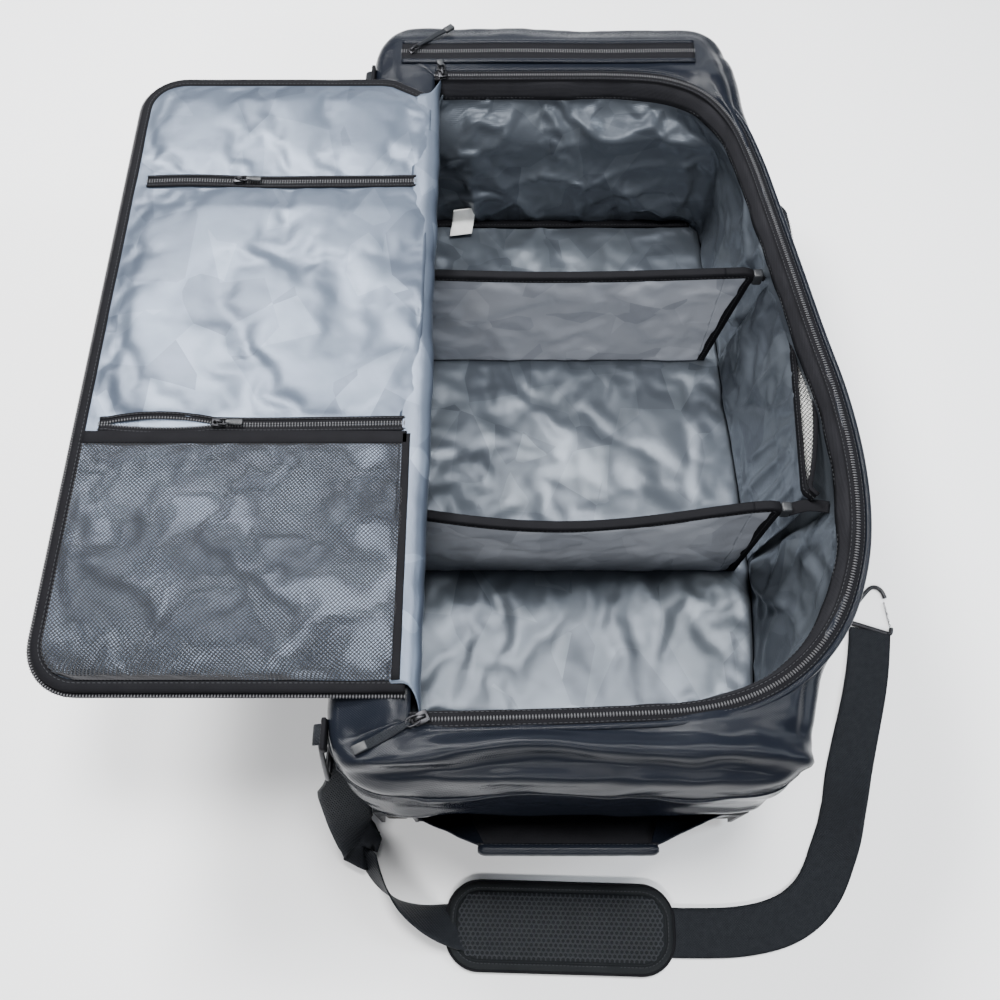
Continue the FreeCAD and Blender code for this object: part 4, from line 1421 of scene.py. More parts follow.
def make_mouth_zip():
    plan = smooth_path(MOUTH, 0.004)
    path = np.column_stack([plan, np.full(len(plan), DECK + 0.0006)])
    tape = sweep("mouth_zip_tape", path, UP, flat_profile(-0.0072, 0.0072, -0.0008, 0.0004), BINDING)
    place_split(tape, "bag", "zip", "mouth_zip_tape_free_side", "mouth_zip")
    teeth = teeth_row("mouth_zip_teeth", path + np.array([0, 0, 0.0010]), width=0.0042, height=0.0020)
    place_split(teeth, "bag", "zip", "mouth_zip_teeth_free_side")
    axes = path_axes(path, UP)
    for name, shift in (("mouth_zip_outer_stitches", -0.0058), ("mouth_zip_inner_stitches", 0.0058)):
        seam = stitch_row(name, path + axes[:, 0] * shift + np.array([0, 0, 0.0008]), UP)
        place_split(seam, "bag", "zip", name + "_free_side")
    welt_path = path + axes[:, 0] * -0.0100 + np.array([0, 0, -0.0002])
    welt = sweep("mouth_welt", welt_path, UP, round_profile(0.0030, 10, squeeze=0.8), TPU)
    place_split(welt, "bag", "outer_shell", "mouth_welt_free_side")


END_TAPE = 0.0145        # half the end zip's width, middle to edge


def make_end_zip():
    low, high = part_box("end_pocket_zip")
    middle = (low.y + high.y) / 2
    x = np.arange(low.x, high.x, 0.005)
    z = DECK + 0.0032 + 0.0005 * np.sin(x * 30)
    line = np.stack([x, np.full_like(x, middle), z], axis=1)
    parts = []
    for way in (-1, 1):
        left, right = sorted((way * 0.0005, way * END_TAPE))
        parts.append(sweep("tape", line, UP, flat_profile(left, right, -0.0012, 0.0), BINDING))
    place(join("end_zip_tape", parts), "bag", "zip", "end_pocket_zip")
    rows = []
    for way in (-1, 1):
        spot = line + np.array([0, 0, 0.0002])
        rows.append(teeth_row("teeth", spot, width=0.0034, height=0.0018, shift=way * 0.0014))
    place(join("end_zip_teeth", rows), "bag", "zip")
    welts = []
    for way in (-1, 1):
        spot = line + np.array([0, way * (END_TAPE + 0.0015), -0.0004])
        welts.append(sweep("welt", spot, UP, round_profile(0.0034, 12, squeeze=0.62), TPU))
    place(join("end_zip_welts", welts), "bag", "outer_shell")
    seam = line + np.array([0, END_TAPE + 0.0065, -0.0012])
    stitches = stitch_row("end_zip_stitches", seam, UP, 0.0046, (0.0009, 0.0030, 0.0008))
    place(stitches, "bag", "outer_shell")


POCKET_HEM = [(-0.147, 0.340), (0.032, 0.3506)]      # the taut hem: Y, X
POCKET_HEM_Z = 0.268
POCKET_GAP = 0.0105          # from the wall's outer face to the pocket's cloth


def soften_open(values, passes):
    """Smooths a row of values between its two ends."""
    for _ in range(passes):
        padded = np.concatenate([values[:1], values, values[-1:]])
        values = 0.25 * padded[:-2] + 0.5 * values + 0.25 * padded[2:]
    return values


def pocket_hem_x(y):
    """X of the side pocket's taut hem; beyond its ends it runs back to the wall."""
    (ya, xa), (yb, xb) = POCKET_HEM
    taut = xa + (xb - xa) * (y - ya) / (yb - ya)
    wall = free_wall(y, POCKET_HEM_Z) - POCKET_GAP
    near = np.clip((ya - y) / 0.030, 0, 1)
    far = np.clip((y - yb) / 0.030, 0, 1)
    back = np.maximum(near, far) ** 0.8
    return np.minimum(taut + (wall - taut) * back, wall)


def make_side_pocket():
    """A satin pocket with a taut hem, and a net that fills the gap between the hem and the wall."""
    low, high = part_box("side_mesh_pocket")
    y = np.linspace(low.y, high.y, 76)
    hem_x = pocket_hem_x(y)
    rows = []
    for t in np.linspace(0, 1, 34):
        z = low.z + (POCKET_HEM_Z - low.z) * t
        wall = free_wall(y, z) - POCKET_GAP
        rows.append(np.stack([wall - (free_wall(y, POCKET_HEM_Z) - POCKET_GAP - hem_x) * t ** 1.6, y,
                              np.full_like(y, z)], axis=1))
    grid = np.stack(rows)
    flat = grid.reshape(-1, 3)
    folds = creases(flat * np.array([1.0, 1.0, 0.25]), 0.036, 51).reshape(grid.shape[:2])
    grid[..., 0] -= 0.0050 * folds * np.sin(np.linspace(0, math.pi, 34))[:, None] ** 0.6
    cloth = sheet_object("side_pocket_cloth", grid, LINING)
    hold = hemmed(grid.shape[:2])
    outward = np.tile((1.0, 0.0, 0.0), (grid.shape[0] * grid.shape[1], 1))
    crumple(cloth, hold.ravel(), 0.05, 0.009, frames=20, bend=0.10, seed=53, outward=outward, most=0.0010)
    finish_cloth(cloth, 0.0008, 0.0)
    place_beyond(cloth, "bag", "main_lining")
    hem = grid[-1]
    wall = free_wall(y, POCKET_HEM_Z + 0.010) - 0.0095
    share = (y - low.y) / (high.y - low.y)
    bulge = np.sin(math.pi * np.clip(share * 1.15, 0, 1)) ** 0.7
    wide = np.minimum(wall - hem[:, 0] - 0.0010, 0.0165 * bulge)
    wide = soften_open(np.maximum(wide, 0.0008), 6)
    lens = []
    for t in np.linspace(0, 1, 8):
        height = POCKET_HEM_Z + 0.0080 * t - 0.0020 * math.sin(math.pi * t)
        lens.append(np.stack([hem[:, 0] + wide * t, y, np.full_like(y, height)], axis=1))
    lens = np.stack(lens)
    net = net_mesh("side_net_pocket", lens, high.y - low.y, 0.019, 0.0026, 0.00045)
    place_beyond(net, "bag", "mesh", "side_mesh_pocket")
    back = lens - np.array([0.0, 0.0, 0.0050])
    back[..., 0] = hem[None, :, 0] + (lens[..., 0] - hem[None, :, 0]) * 0.9
    back = back[:, 6:-6]
    pale = sheet_object("side_pocket_back", back, LABEL)
    thicken(pale, 0.0006)
    place_beyond(pale, "bag", "main_lining")
    for name, line, width, up in (("side_pocket_hem", hem, 0.0050, (-1, 0, 0.3)),
                                  ("side_net_outer_tape", lens[-1], 0.0022, UP)):
        outline = flat_profile(-width, width, -0.0009, 0.0009)
        band = sweep(name, line + np.array([-0.0004, 0, 0]), up, outline, BINDING)
        place_beyond(band, "bag", "binding")
    seam_path = hem + np.array([-0.0017, 0, 0.0022])
    seam = stitch_row("side_pocket_hem_stitches", seam_path, (-1, 0, 0.3), 0.0042)
    place_beyond(seam, "bag", "binding")


# ---- padded dividers ----
DIVIDER_RIGHT = {"far_divider": (0.293, 0.318), "near_divider": (0.303, 0.314)}      # X at foot, at top
DIVIDER_SPLIT = 0.288        # beyond this a divider is split off as a piece of its own


def place_divider(obj, body, slot, closed, *nodes):
    """Places a piece of a divider, with its outer end split off as a piece of its own."""
    far = split_free_side(obj, obj.name + "_free_side", DIVIDER_SPLIT, closed)
    place(far, body, slot)
    draw_in(far)
    place(obj, body, slot, *nodes)
    return far


def divider_point(name, u, v, side):
    """A point of a divider's padded face: u across the bag, v up, side -1 near and 1 far."""
    low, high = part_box(name)
    foot, top = DIVIDER_RIGHT[name]
    x = low.x + (foot + (top - foot) * v - low.x) * u
    height = high.z - low.z
    near = name.startswith("near")
    sag = (0.007 if near else 0.003) * np.sin(math.pi * u) * v ** 2
    bow = (-0.020 if near else -0.004) * np.sin(math.pi * np.clip(u * 1.04, 0, 1)) ** 1.3 * v ** 1.6
    edge = np.minimum(np.minimum(u, 1 - u) * 3.2, (1 - v) * 1.4)
    thick = DIVIDER_HALF * (0.55 + 0.45 * np.clip(edge / 0.12, 0, 1) ** 0.5)
    y = low.y + DIVIDER_HALF + bow + side * thick
    z = low.z + height * v - sag
    return np.stack([x, y, z], axis=-1)


def make_divider(name, body, seed):
    faces = []
    for side in (-1, 1):
        u, v = unit_grid(70, 30)
        points = divider_point(name, u, v, side)
        flat = points.reshape(-1, 3)
        puckers = 0.0016 * wobble(flat * np.array([1, 0, 1]), 0.05, seed + side, 2).reshape(u.shape)
        edge = np.clip(np.minimum(np.minimum(u, 1 - u) * 12, np.minimum(v, 1 - v) * 6), 0, 1)
        points[..., 1] += puckers * edge
        # the divider's faces take the lighter copy of the satin, with its painted light
        cloth = sheet_object(name + "_face", points, DIVIDER_LINING_PAINTED_LIGHT)
        hold = hemmed(u.shape)
        inward = np.tile((0.0, -float(side), 0.0), (u.size, 1))
        crumple(cloth, hold.ravel(), 0.016, 0.0035, frames=16, bend=0.3, seed=seed + side, outward=inward,
                most=0.001)
        faces.append(cloth)
    panel = join(name + "_padding", faces)
    work = bmesh.new()
    work.from_mesh(panel.data)
    bmesh.ops.remove_doubles(work, verts=work.verts, dist=0.00001)
    border = [e for e in work.edges if e.is_boundary]
    bmesh.ops.bridge_loops(work, edges=border)
    bmesh.ops.recalc_face_normals(work, faces=work.faces)
    work.to_mesh(panel.data)
    work.free()
    subdivide(panel, 1)
    far = place_divider(panel, body, "main_lining", True, name)
    make_divider_trim(name, body)


def make_divider_trim(name, body):
    u = np.linspace(0.0, 0.985, 60)
    top = divider_point(name, u, np.full_like(u, 0.985), 0)
    v = np.linspace(0.97, 0.02, 30)
    side = divider_point(name, np.full_like(v, 0.992), v, 0)
    corner = divider_point(name, np.array([0.992]), np.array([0.98]), 0)
    path = smooth_path(np.concatenate([top, corner, side])[::3], 0.005)
    across = np.zeros_like(path)
    across[:, 1] = 1.0
    profile = [(-0.0030, -0.0044), (0.0060, -0.0046), (0.0066, -0.0030), (0.0066, 0.0030), (0.0060, 0.0046),
               (-0.0030, 0.0044), (-0.0046, 0.0026), (-0.0046, -0.0026)]
    binding = sweep(name + "_binding", path, across, profile, BINDING)
    place_divider(binding, body, "binding", True)
    seams = []
    for way in (-1, 1):
        spots = path + np.array([0, way * 0.0047, 0])
        seams.append(stitch_row("seam", spots, (0, way, 0)))
    place_divider(join(name + "_stitches", seams), body, "binding", True)
    low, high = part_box(name)
    z = high.z - 0.007
    y = low.y + DIVIDER_HALF
    x = DIVIDER_RIGHT[name][1] + 0.002
    clip = bevel_box(name + "_clip", (x, y - 0.0055, z - 0.010), (x + 0.011, y + 0.0055, z + 0.007),
                     0.0022, PLASTIC)
    place(clip, body, "hard_plastic")
    draw_in(clip)
    wall = float(free_wall(y, z)) - 0.010
    loop = [(x + 0.008, y, z - 0.003), ((x + wall) / 2 + 0.004, y + 0.003, z + 0.002), (wall, y, z + 0.004)]
    outline = flat_profile(-0.0065, 0.0065, -0.0008, 0.0008)
    band = sweep(name + "_wall_loop", smooth_path(loop, 0.002), UP, outline, BINDING)
    place(band, "bag", "binding")
    draw_in(band)


def make_care_label():
    u, v = unit_grid(14, 24)
    x = -0.036 + 0.030 * u + 0.006 * v
    y = 0.322 + 0.018 * np.clip(v / 0.5, 0, 1) + 0.003 * u
    z = 0.0965 + 0.004 * np.sin(3.0 * v) + 0.030 * np.clip((v - 0.4) / 0.6, 0, 1) ** 1.4 + 0.002 * u
    tag = sheet_object("blank_care_label", np.stack([x, y, z], axis=-1), LABEL)
    thicken(tag, 0.0004)
    place(tag, "bag", "main_lining")


def make_hinge_roll():
    """Lining that rolls over the hinge from the lid down into the bag."""
    across = np.linspace(0, 1, 124)
    profile = [(-0.066, 0.3172), (-0.060, 0.3186), (-0.053, 0.3202), (-0.046, 0.3204), (-0.0405, 0.3182),
               (-0.0375, 0.3140), (-0.0368, 0.3085), (-0.0374, 0.3020), (-0.0390, 0.2950), (-0.0410, 0.2880)]
    points = np.empty((len(profile), len(across), 3))
    for r, (x, z) in enumerate(profile):
        fall = min(max((r - 3) / 3, 0), 1)
        near = LID_LOW.y + 0.012 + (MOUTH[-1][1] + 0.001 - LID_LOW.y - 0.012) * fall
        far = LID_HIGH.y - 0.030 + (MOUTH[0][1] - 0.001 - LID_HIGH.y + 0.030) * fall
        points[r, :, 0] = x
        points[r, :, 1] = near + (far - near) * across
        points[r, :, 2] = z
    wave = wobble(points.reshape(-1, 3) * np.array([0.5, 1, 0.5]), 0.06, 61, 3).reshape(points.shape[:2])
    middle = np.sin(np.linspace(0, math.pi, len(profile)))[:, None]
    points[..., 0] += 0.0042 * wave * middle
    points[..., 2] += 0.0014 * wave * middle
    # the roll takes the lid's bluer copy of the satin, with its painted skylight and reflection
    roll = sheet_object("hinge_roll", points, LID_LINING_PAINTED_SKYLIGHT)
    finish_cloth(roll, 0.0008, 0.0)
    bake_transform(roll)


make_facing()
make_wall_lining()
make_floor_lining()
make_floor_bindings()
make_mouth_zip()
make_end_zip()
make_side_pocket()
make_divider("far_divider", "far_fold", 71)
make_divider("near_divider", "near_fold", 81)
make_care_label()
make_hinge_roll()


# ================= pad, handles, hooks and pulls =================
PAD_SPOT = (0.098, -0.545, 0.003)
PAD_TURN = math.radians(-1.5)
PAD_HALF = (0.123, 0.0445)
PAD_CORNER = 0.036


def turned_point(points, spot, turn):
    p = np.array(points, float)
    c, s = math.cos(turn), math.sin(turn)
    out = p.copy()
    out[..., 0] = p[..., 0] * c - p[..., 1] * s
    out[..., 1] = p[..., 0] * s + p[..., 1] * c
    return out + np.array(spot)


def rounded_ring(half_x, half_y, radius, inset, count):
    hx, hy = half_x - inset, half_y - inset
    r = max(radius - inset, 0.0012)
    loop = corner_arc(hx - r, -hy + r, r, 270, 360, 14) + corner_arc(hx - r, hy - r, r, 0, 90, 14)
    loop += corner_arc(-hx + r, hy - r, r, 90, 180, 14) + corner_arc(-hx + r, -hy + r, r, 180, 270, 14)
    return closed_even(loop, count)


def pad_height(inset):
    """Height of the pad's upper face above its underside, by the distance from its edge."""
    border = 0.0105 * np.sin(np.clip(inset / 0.0070, 0, 1) * math.pi / 2) ** 0.7
    groove = -0.0026 * bump_on(inset, 0.0098, 0.0013)
    crown = 0.0035 * np.clip((inset - 0.010) / 0.012, 0, 1) ** 0.6
    return border + groove + crown


def make_pad():
    count = 160
    insets = np.concatenate([np.linspace(0.0, 0.012, 16), np.linspace(0.0145, 0.0425, 12)])
    rings = []
    for inset in (0.040, 0.025, 0.012, 0.004):
        ring = rounded_ring(*PAD_HALF, PAD_CORNER, inset, count)
        rings.append(np.column_stack([ring, np.full(count, 0.0004 if inset > 0.005 else 0.0009)]))
    for inset in insets:
        ring = rounded_ring(*PAD_HALF, PAD_CORNER, inset, count)
        rings.append(np.column_stack([ring, np.full(count, 0.0022 + pad_height(inset) * 0.83)]))
    points = np.stack(rings)
    flat = points.reshape(-1, 3)
    lumps = 0.0008 * wobble(flat, 0.035, 91, 2).reshape(points.shape[:2])
    points[5:, :, 2] += lumps[5:]
    points = turned_point(points, PAD_SPOT, PAD_TURN)
    faces = capped_faces(len(rings), count)
    pad = fix_normals(new_object("strap_pad", points.reshape(-1, 3), faces, SPACER))
    place(pad, "bag", "pad", "shoulder_pad")
    ring = rounded_ring(*PAD_HALF, PAD_CORNER, 0.0005, 200)
    edge = np.column_stack([ring, np.full(200, 0.0038)])
    piping = sweep("pad_edge_piping", turned_point(edge, PAD_SPOT, PAD_TURN), UP,
                   round_profile(0.0022, 8), BINDING, closed=True)
    place(piping, "bag", "pad")
    ring = rounded_ring(*PAD_HALF, PAD_CORNER, 0.0072, 200)
    seam = np.column_stack([ring, np.full(200, 0.0022 + 0.83 * float(pad_height(0.0072)) + 0.0003)])
    seam = turned_point(seam, PAD_SPOT, PAD_TURN)
    stitches = stitch_row("pad_border_stitches", seam, UP, 0.004)
    place(stitches, "bag", "pad")
    make_pad_mesh()


def inside_pad(points):
    """How far inside the pad's outline each point lies."""
    dx = np.maximum(np.abs(points[:, 0]) - (PAD_HALF[0] - PAD_CORNER), 0)
    dy = np.maximum(np.abs(points[:, 1]) - (PAD_HALF[1] - PAD_CORNER), 0)
    return PAD_CORNER - np.hypot(dx, dy)


def make_pad_mesh():
    """The open knit of the spacer mesh, as a honeycomb of threads."""
    pitch = 0.0052
    step_y = pitch * math.sqrt(3) / 2
    ends = []
    for r in range(-12, 13):
        for c in range(-30, 31):
            x = (c + 0.5 * (r % 2)) * pitch
            y = r * step_y
            corners = [(x + pitch / math.sqrt(3) * math.sin(k * math.pi / 3),
                        y + pitch / math.sqrt(3) * math.cos(k * math.pi / 3)) for k in range(4)]
            ends.extend(zip(corners, corners[1:]))
    ends = np.array(ends)
    depth = np.minimum(inside_pad(ends[:, 0]), inside_pad(ends[:, 1]))
    ends = ends[depth > 0.0112]
    high = []
    for k in (0, 1):
        inset = inside_pad(ends[:, k])
        z = 0.0022 + 0.83 * pad_height(inset) + 0.0003
        high.append(np.column_stack([ends[:, k], z]))
    a, b = high
    a[:, 2] += 0.0008 * wobble(a, 0.035, 91, 2)
    b[:, 2] += 0.0008 * wobble(b, 0.035, 91, 2)
    along = unit(b - a)
    across = unit(np.cross(along, np.array([0, 0, 1.0])))
    verts = []
    for end in (a, b):
        for s, t in ((-1, 0), (0, 0.7), (1, 0)):
            verts.append(end + across * 0.00080 * s + np.array([0, 0, 0.0013]) * t)
    stacked = turned_point(np.stack(verts, axis=1), PAD_SPOT, PAD_TURN)
    knit = new_object("pad_spacer_knit", stacked.reshape(-1, 3), thread_faces(len(a)), KNIT)
    place(knit, "bag", "pad")


def box_stitch(name, centre, half, normal, along):
    """A sewn square with a cross in it."""
    n = np.array(normal, float)
    a = unit(np.array(along, float))
    b = np.cross(n, a)
    c = np.array(centre, float)
    corner = [c + a * half[0] * i + b * half[1] * j for i, j in ((-1, -1), (1, -1), (1, 1), (-1, 1))]
    lines = [(corner[i], corner[(i + 1) % 4]) for i in range(4)]
    lines += [(corner[0], corner[2]), (corner[1], corner[3])]
    return join(name, [stitch_row("seam", np.array(line), n, 0.0035) for line in lines])


def make_haul_handle():
    low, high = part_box("haul_handle")
    roll_low, roll_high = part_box("haul_grip")
    wall_y = high.y - 0.0012
    foot = 0.1265
    left, right = roll_low.x, roll_high.x
    lip_y, lip_z = -0.4790, 0.1840
    u, v = unit_grid(60, 18)
    x0 = low.x + (left - low.x) * v
    x1 = high.x + (right - high.x) * v
    x = x0 + (x1 - x0) * u
    sag = 0.0060 * np.sin(math.pi * v)
    y = wall_y + (lip_y - wall_y) * v - 0.25 * sag
    z = foot + (lip_z - foot) * v - sag + 0.0040 * np.sin(math.pi * u) * (1 - v)
    wave = wobble(np.stack([x, y, z], -1).reshape(-1, 3), 0.05, 101, 2).reshape(x.shape)
    panel_points = np.stack([x, y, z + 0.0016 * wave * np.sin(math.pi * v)], axis=-1)
    panel = sheet_object("haul_flap_inner", panel_points, FACING)
    finish_cloth(panel, 0.0014, 0.0)
    place(panel, "haul", "webbing", "haul_handle")
    outer = panel_points + np.array([0.0, -0.0022, -0.0022])
    back = sheet_object("haul_flap_outer", outer, TPU)
    finish_cloth(back, 0.0012, 0.0)
    place(back, "haul", "outer_shell")
    make_haul_roll(left, right)
    for name, corner_x, panel_x, end_x in (("left", -0.070, low.x, left), ("right", 0.268, high.x, right)):
        make_haul_wing(name, corner_x, panel_x, end_x, wall_y, foot, lip_y, lip_z)


def make_haul_roll(left, right):
    x = np.linspace(left - 0.004, right + 0.004, 70)
    share = (x - left) / (right - left)
    sag = 0.0025 * np.sin(math.pi * np.clip(share, 0, 1))
    path = np.stack([x, np.full_like(x, -0.4813), 0.1882 - sag], axis=1)
    ends = np.clip(np.minimum(x - x[0], x[-1] - x) / 0.006, 0, 1) ** 0.5
    size = 0.0056 * (0.45 + 0.55 * ends) * (1 + 0.05 * wobble(path, 0.02, 103, 2))
    ring = np.array(round_profile(1.0, 18))
    profile = ring[None] * size[:, None, None]
    profile[..., 1] *= 1.06
    roll = sweep("haul_roll", path, UP, profile, TPU)
    place(roll, "haul", "outer_shell", "haul_grip")
    seam = stitch_row("haul_roll_stitches", path + np.array([0, 0.0046, 0.0030]), (0, 0.5, 1), 0.0042)
    place(seam, "haul", "outer_shell")
    rim = path + np.array([0, 0.0050, -0.0040])
    piping = sweep("haul_roll_piping", rim, UP, round_profile(0.0016, 8), BINDING)
    place(piping, "haul", "binding")


def make_haul_wing(name, corner_x, panel_x, end_x, wall_y, foot, lip_y, lip_z):
    """A glossy gusset from the wall's corner out to the end of the roll."""
    u, v = unit_grid(40, 16)
    way = 1 if corner_x > panel_x else -1
    top_start = np.array([corner_x, wall_y + 0.001, foot + 0.016])
    top_end = np.array([end_x - way * 0.004, lip_y - 0.001, lip_z + 0.001])
    low_start = np.array([corner_x - way * 0.012, wall_y + 0.001, foot - 0.010])
    low_end = np.array([panel_x - way * 0.005, wall_y + 0.001, foot - 0.002])
    top = top_start + (top_end - top_start) * u[..., None]
    low = low_start + (low_end - low_start) * u[..., None]
    top[..., 2] -= 0.010 * np.sin(math.pi * u)
    points = low + (top - low) * v[..., None]
    points[..., 2] -= 0.006 * np.sin(math.pi * v) * np.sin(math.pi * u)
    wave = wobble(points.reshape(-1, 3), 0.035, 105, 2).reshape(u.shape)
    points[..., 1] += 0.0028 * wave * np.sin(math.pi * u)
    wing = sheet_object("haul_wing_" + name, points, TPU)
    finish_cloth(wing, 0.0014, 0.0)
    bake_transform(wing)
    tab = bevel_box("haul_corner_" + name, (corner_x - 0.013, wall_y - 0.0035, foot - 0.008),
                    (corner_x + 0.013, wall_y + 0.003, foot + 0.020), 0.0022, BINDING)
    place(tab, "bag", "binding")
    sewn = box_stitch("haul_corner_stitches_" + name, (corner_x, wall_y - 0.0036, foot + 0.006),
                      (0.009, 0.010), (0, -1, 0), (1, 0, 0))
    place(sewn, "bag", "binding")


HANDLE_Z = 0.216
HANDLE_WALL = 0.009


def make_side_handle(name, body, spots, way, out, draw):
    (xa, ya), (xb, yb) = spots
    near = xa + way * (HANDLE_WALL + 0.002)
    far = xb + way * (HANDLE_WALL + 0.002)
    crest = out + way * 0.002
    plan = [(near - way * 0.004, ya - 0.002), (near, ya + 0.006), (crest - way * 0.006, ya + 0.026),
            (crest, ya + 0.046), (crest, (ya + yb) / 2), (crest, yb - 0.046),
            (crest - way * 0.006, yb - 0.026), (far, yb - 0.006), (far - way * 0.004, yb + 0.002)]
    path = smooth_path([(x, y, HANDLE_Z) for x, y in plan], 0.0035)
    middle = bump_on(path[:, 1], (ya + yb) / 2, 0.042)
    wide = 0.0085 - 0.0018 * middle
    thick = 0.0017 + 0.0030 * middle
    ring = np.array(round_profile(1.0, 14))
    ring = np.sign(ring) * np.abs(ring) ** 0.72
    profile = np.stack([ring[None, :, 0] * thick[:, None], ring[None, :, 1] * wide[:, None]], axis=-1)
    band = sweep(name + "_band", path, UP, profile, WEBBING)
    place(band, body, "webbing", name)
    parts = [band]
    seams = []
    for height in (-0.0052, 0.0052):
        offset = path_axes(path, UP)[:, 0] * (0.0022 + 0.0022 * middle[:, None]) * way
        seam_path = (path + offset + np.array([0, 0, height]))[6:-6]
        seams.append(stitch_row("seam", seam_path, (way, 0, 0), 0.0042))
    sewn = join(name + "_stitches", seams)
    place(sewn, body, "webbing")
    parts.append(sewn)
    for k, (x, y) in enumerate(spots):
        low_x, high_x = sorted((x - way * 0.004, x + way * 0.0030))
        patch = bevel_box(f"{name}_anchor_{k + 1}", (low_x, y - 0.018, 0.199), (high_x, y + 0.018, 0.233),
                          0.0013, BINDING)
        nodes = ("handle_anchors",) if name.startswith("left") and k == 0 else ()
        place(patch, "bag", "binding", *nodes)
        cross = box_stitch(f"{name}_anchor_stitches_{k + 1}", (x + way * 0.0031, y, 0.216), (0.0135, 0.0125),
                           (way, 0, 0), (0, 1, 0))
        place(cross, "bag", "binding")
        low_x, high_x = sorted((x + way * 0.002, x + way * (HANDLE_WALL + 0.0005)))
        lug = bevel_box(f"{name}_loop_{k + 1}", (low_x, y - 0.0075, 0.2085), (high_x, y + 0.0075, 0.2235),
                        0.0018, WEBBING)
        place(lug, "bag", "webbing")
        parts += [patch, cross, lug]
    if draw:
        for piece in parts:
            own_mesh(piece)


def make_side_handles():
    left = BASE_LOW.x
    make_side_handle("left_side_handle", "left_handle", [(left - 0.003, -0.070), (left - 0.003, 0.090)], -1,
                     left - 0.034, False)
    make_side_handle("right_side_handle", "right_handle", [(0.349, 0.128), (0.3325, 0.288)], 1, 0.381, True)


# ---- hooks ----
def hook_place(local, which):
    """From the hook's own plane (base bar on x, tip on y, thickness on z) to the bag's frame."""
    p = np.array(local, float)
    if which == "left":
        low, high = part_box("left_carabiner")
        base = np.array([(low.x + high.x) / 2, -0.396, 0.229])
        return base + np.stack([p[..., 2], p[..., 0], p[..., 1]], axis=-1)
    return turned_point(p, (0.488, -0.207, 0.0027), math.radians(-18.5))


def hook_up(which):
    """The direction that a hook's flat side faces."""
    return (1.0, 0.0, 0.0) if which == "left" else (0.0, 0.0, 1.0)


def make_hook(which, node, gate_node, gate_body):
    frame_line = [(0.0125, 0.0440, 0), (0.0070, 0.0515, 0), (0.0, 0.0545, 0), (-0.0070, 0.0515, 0),
                  (-0.0135, 0.0400, 0), (-0.0205, 0.0230, 0), (-0.0262, 0.0070, 0), (-0.0262, 0.0010, 0),
                  (-0.0215, -0.0012, 0), (0.0, -0.0014, 0), (0.0215, -0.0012, 0), (0.0262, 0.0010, 0),
                  (0.0258, 0.0075, 0)]
    path = hook_place(smooth_path(frame_line, 0.0014), which)
    body = sweep(node + "_frame", path, hook_up(which), round_profile(0.0026, 12, squeeze=0.92), DARK_METAL)
    place(body, "bag", "hook_metal", node)
    bar = hook_place(np.array([(x, -0.0012, 0) for x in np.linspace(-0.0225, 0.0225, 24)]), which)
    outline = flat_profile(-0.0026, 0.0030, -0.0027, 0.0027, 0.0012)
    grip = sweep(node + "_base_bar", bar, hook_up(which), outline, DARK_METAL)
    place(grip, "bag", "hook_metal")
    wires = []
    for lift in (-0.0012, 0.0012):
        line = [(0.0242, 0.0090, lift), (0.0180, 0.0235, lift), (0.0118, 0.0378, lift * 0.6)]
        wires.append(sweep("wire", hook_place(smooth_path(line, 0.002), which), hook_up(which),
                           round_profile(0.00075, 8), BRIGHT_METAL))
    gate = join(gate_node + "_wire", wires)
    place(gate, gate_body, "hook_metal", gate_node)


def make_strap_loops():
    for y, name in ((-0.396, "near"), (0.396, "far")):
        line = [(-0.1195, y, 0.299), (-0.1290, y, 0.2965), (-0.1311, y, 0.288), (-0.1308, y, 0.2765),
                (-0.1258, y, 0.2737), (-0.1212, y, 0.2765), (-0.1206, y, 0.288), (-0.1196, y, 0.294)]
        path = smooth_path(line, 0.0014)
        half = 0.0042 + 0.0050 * np.clip((path[:, 2] - 0.284) / 0.012, 0, 1)
        outline = np.array(flat_profile(-1, 1, -0.00065, 0.00065, 0.0002))
        height = np.broadcast_to(outline[:, 1], (len(path), len(outline)))
        profile = np.stack([outline[None, :, 0] * half[:, None], height], axis=-1)
        band = sweep(f"{name}_strap_loop", path, (-1, 0, 0.02), profile, WEBBING)
        nodes = ("strap_loops",) if name == "near" else ()
        place(band, "bag", "webbing", *nodes)
        patch = bevel_box(f"{name}_strap_patch", (-0.1228, y - 0.014, 0.288), (-0.1185, y + 0.014, 0.3045),
                          0.0012, BINDING)
        place(patch, "bag", "binding")
        sewn = box_stitch(f"{name}_strap_patch_stitches", (-0.1229, y, 0.2962), (0.011, 0.006),
                          (-1, 0, 0), (0, 1, 0))
        place(sewn, "bag", "binding")


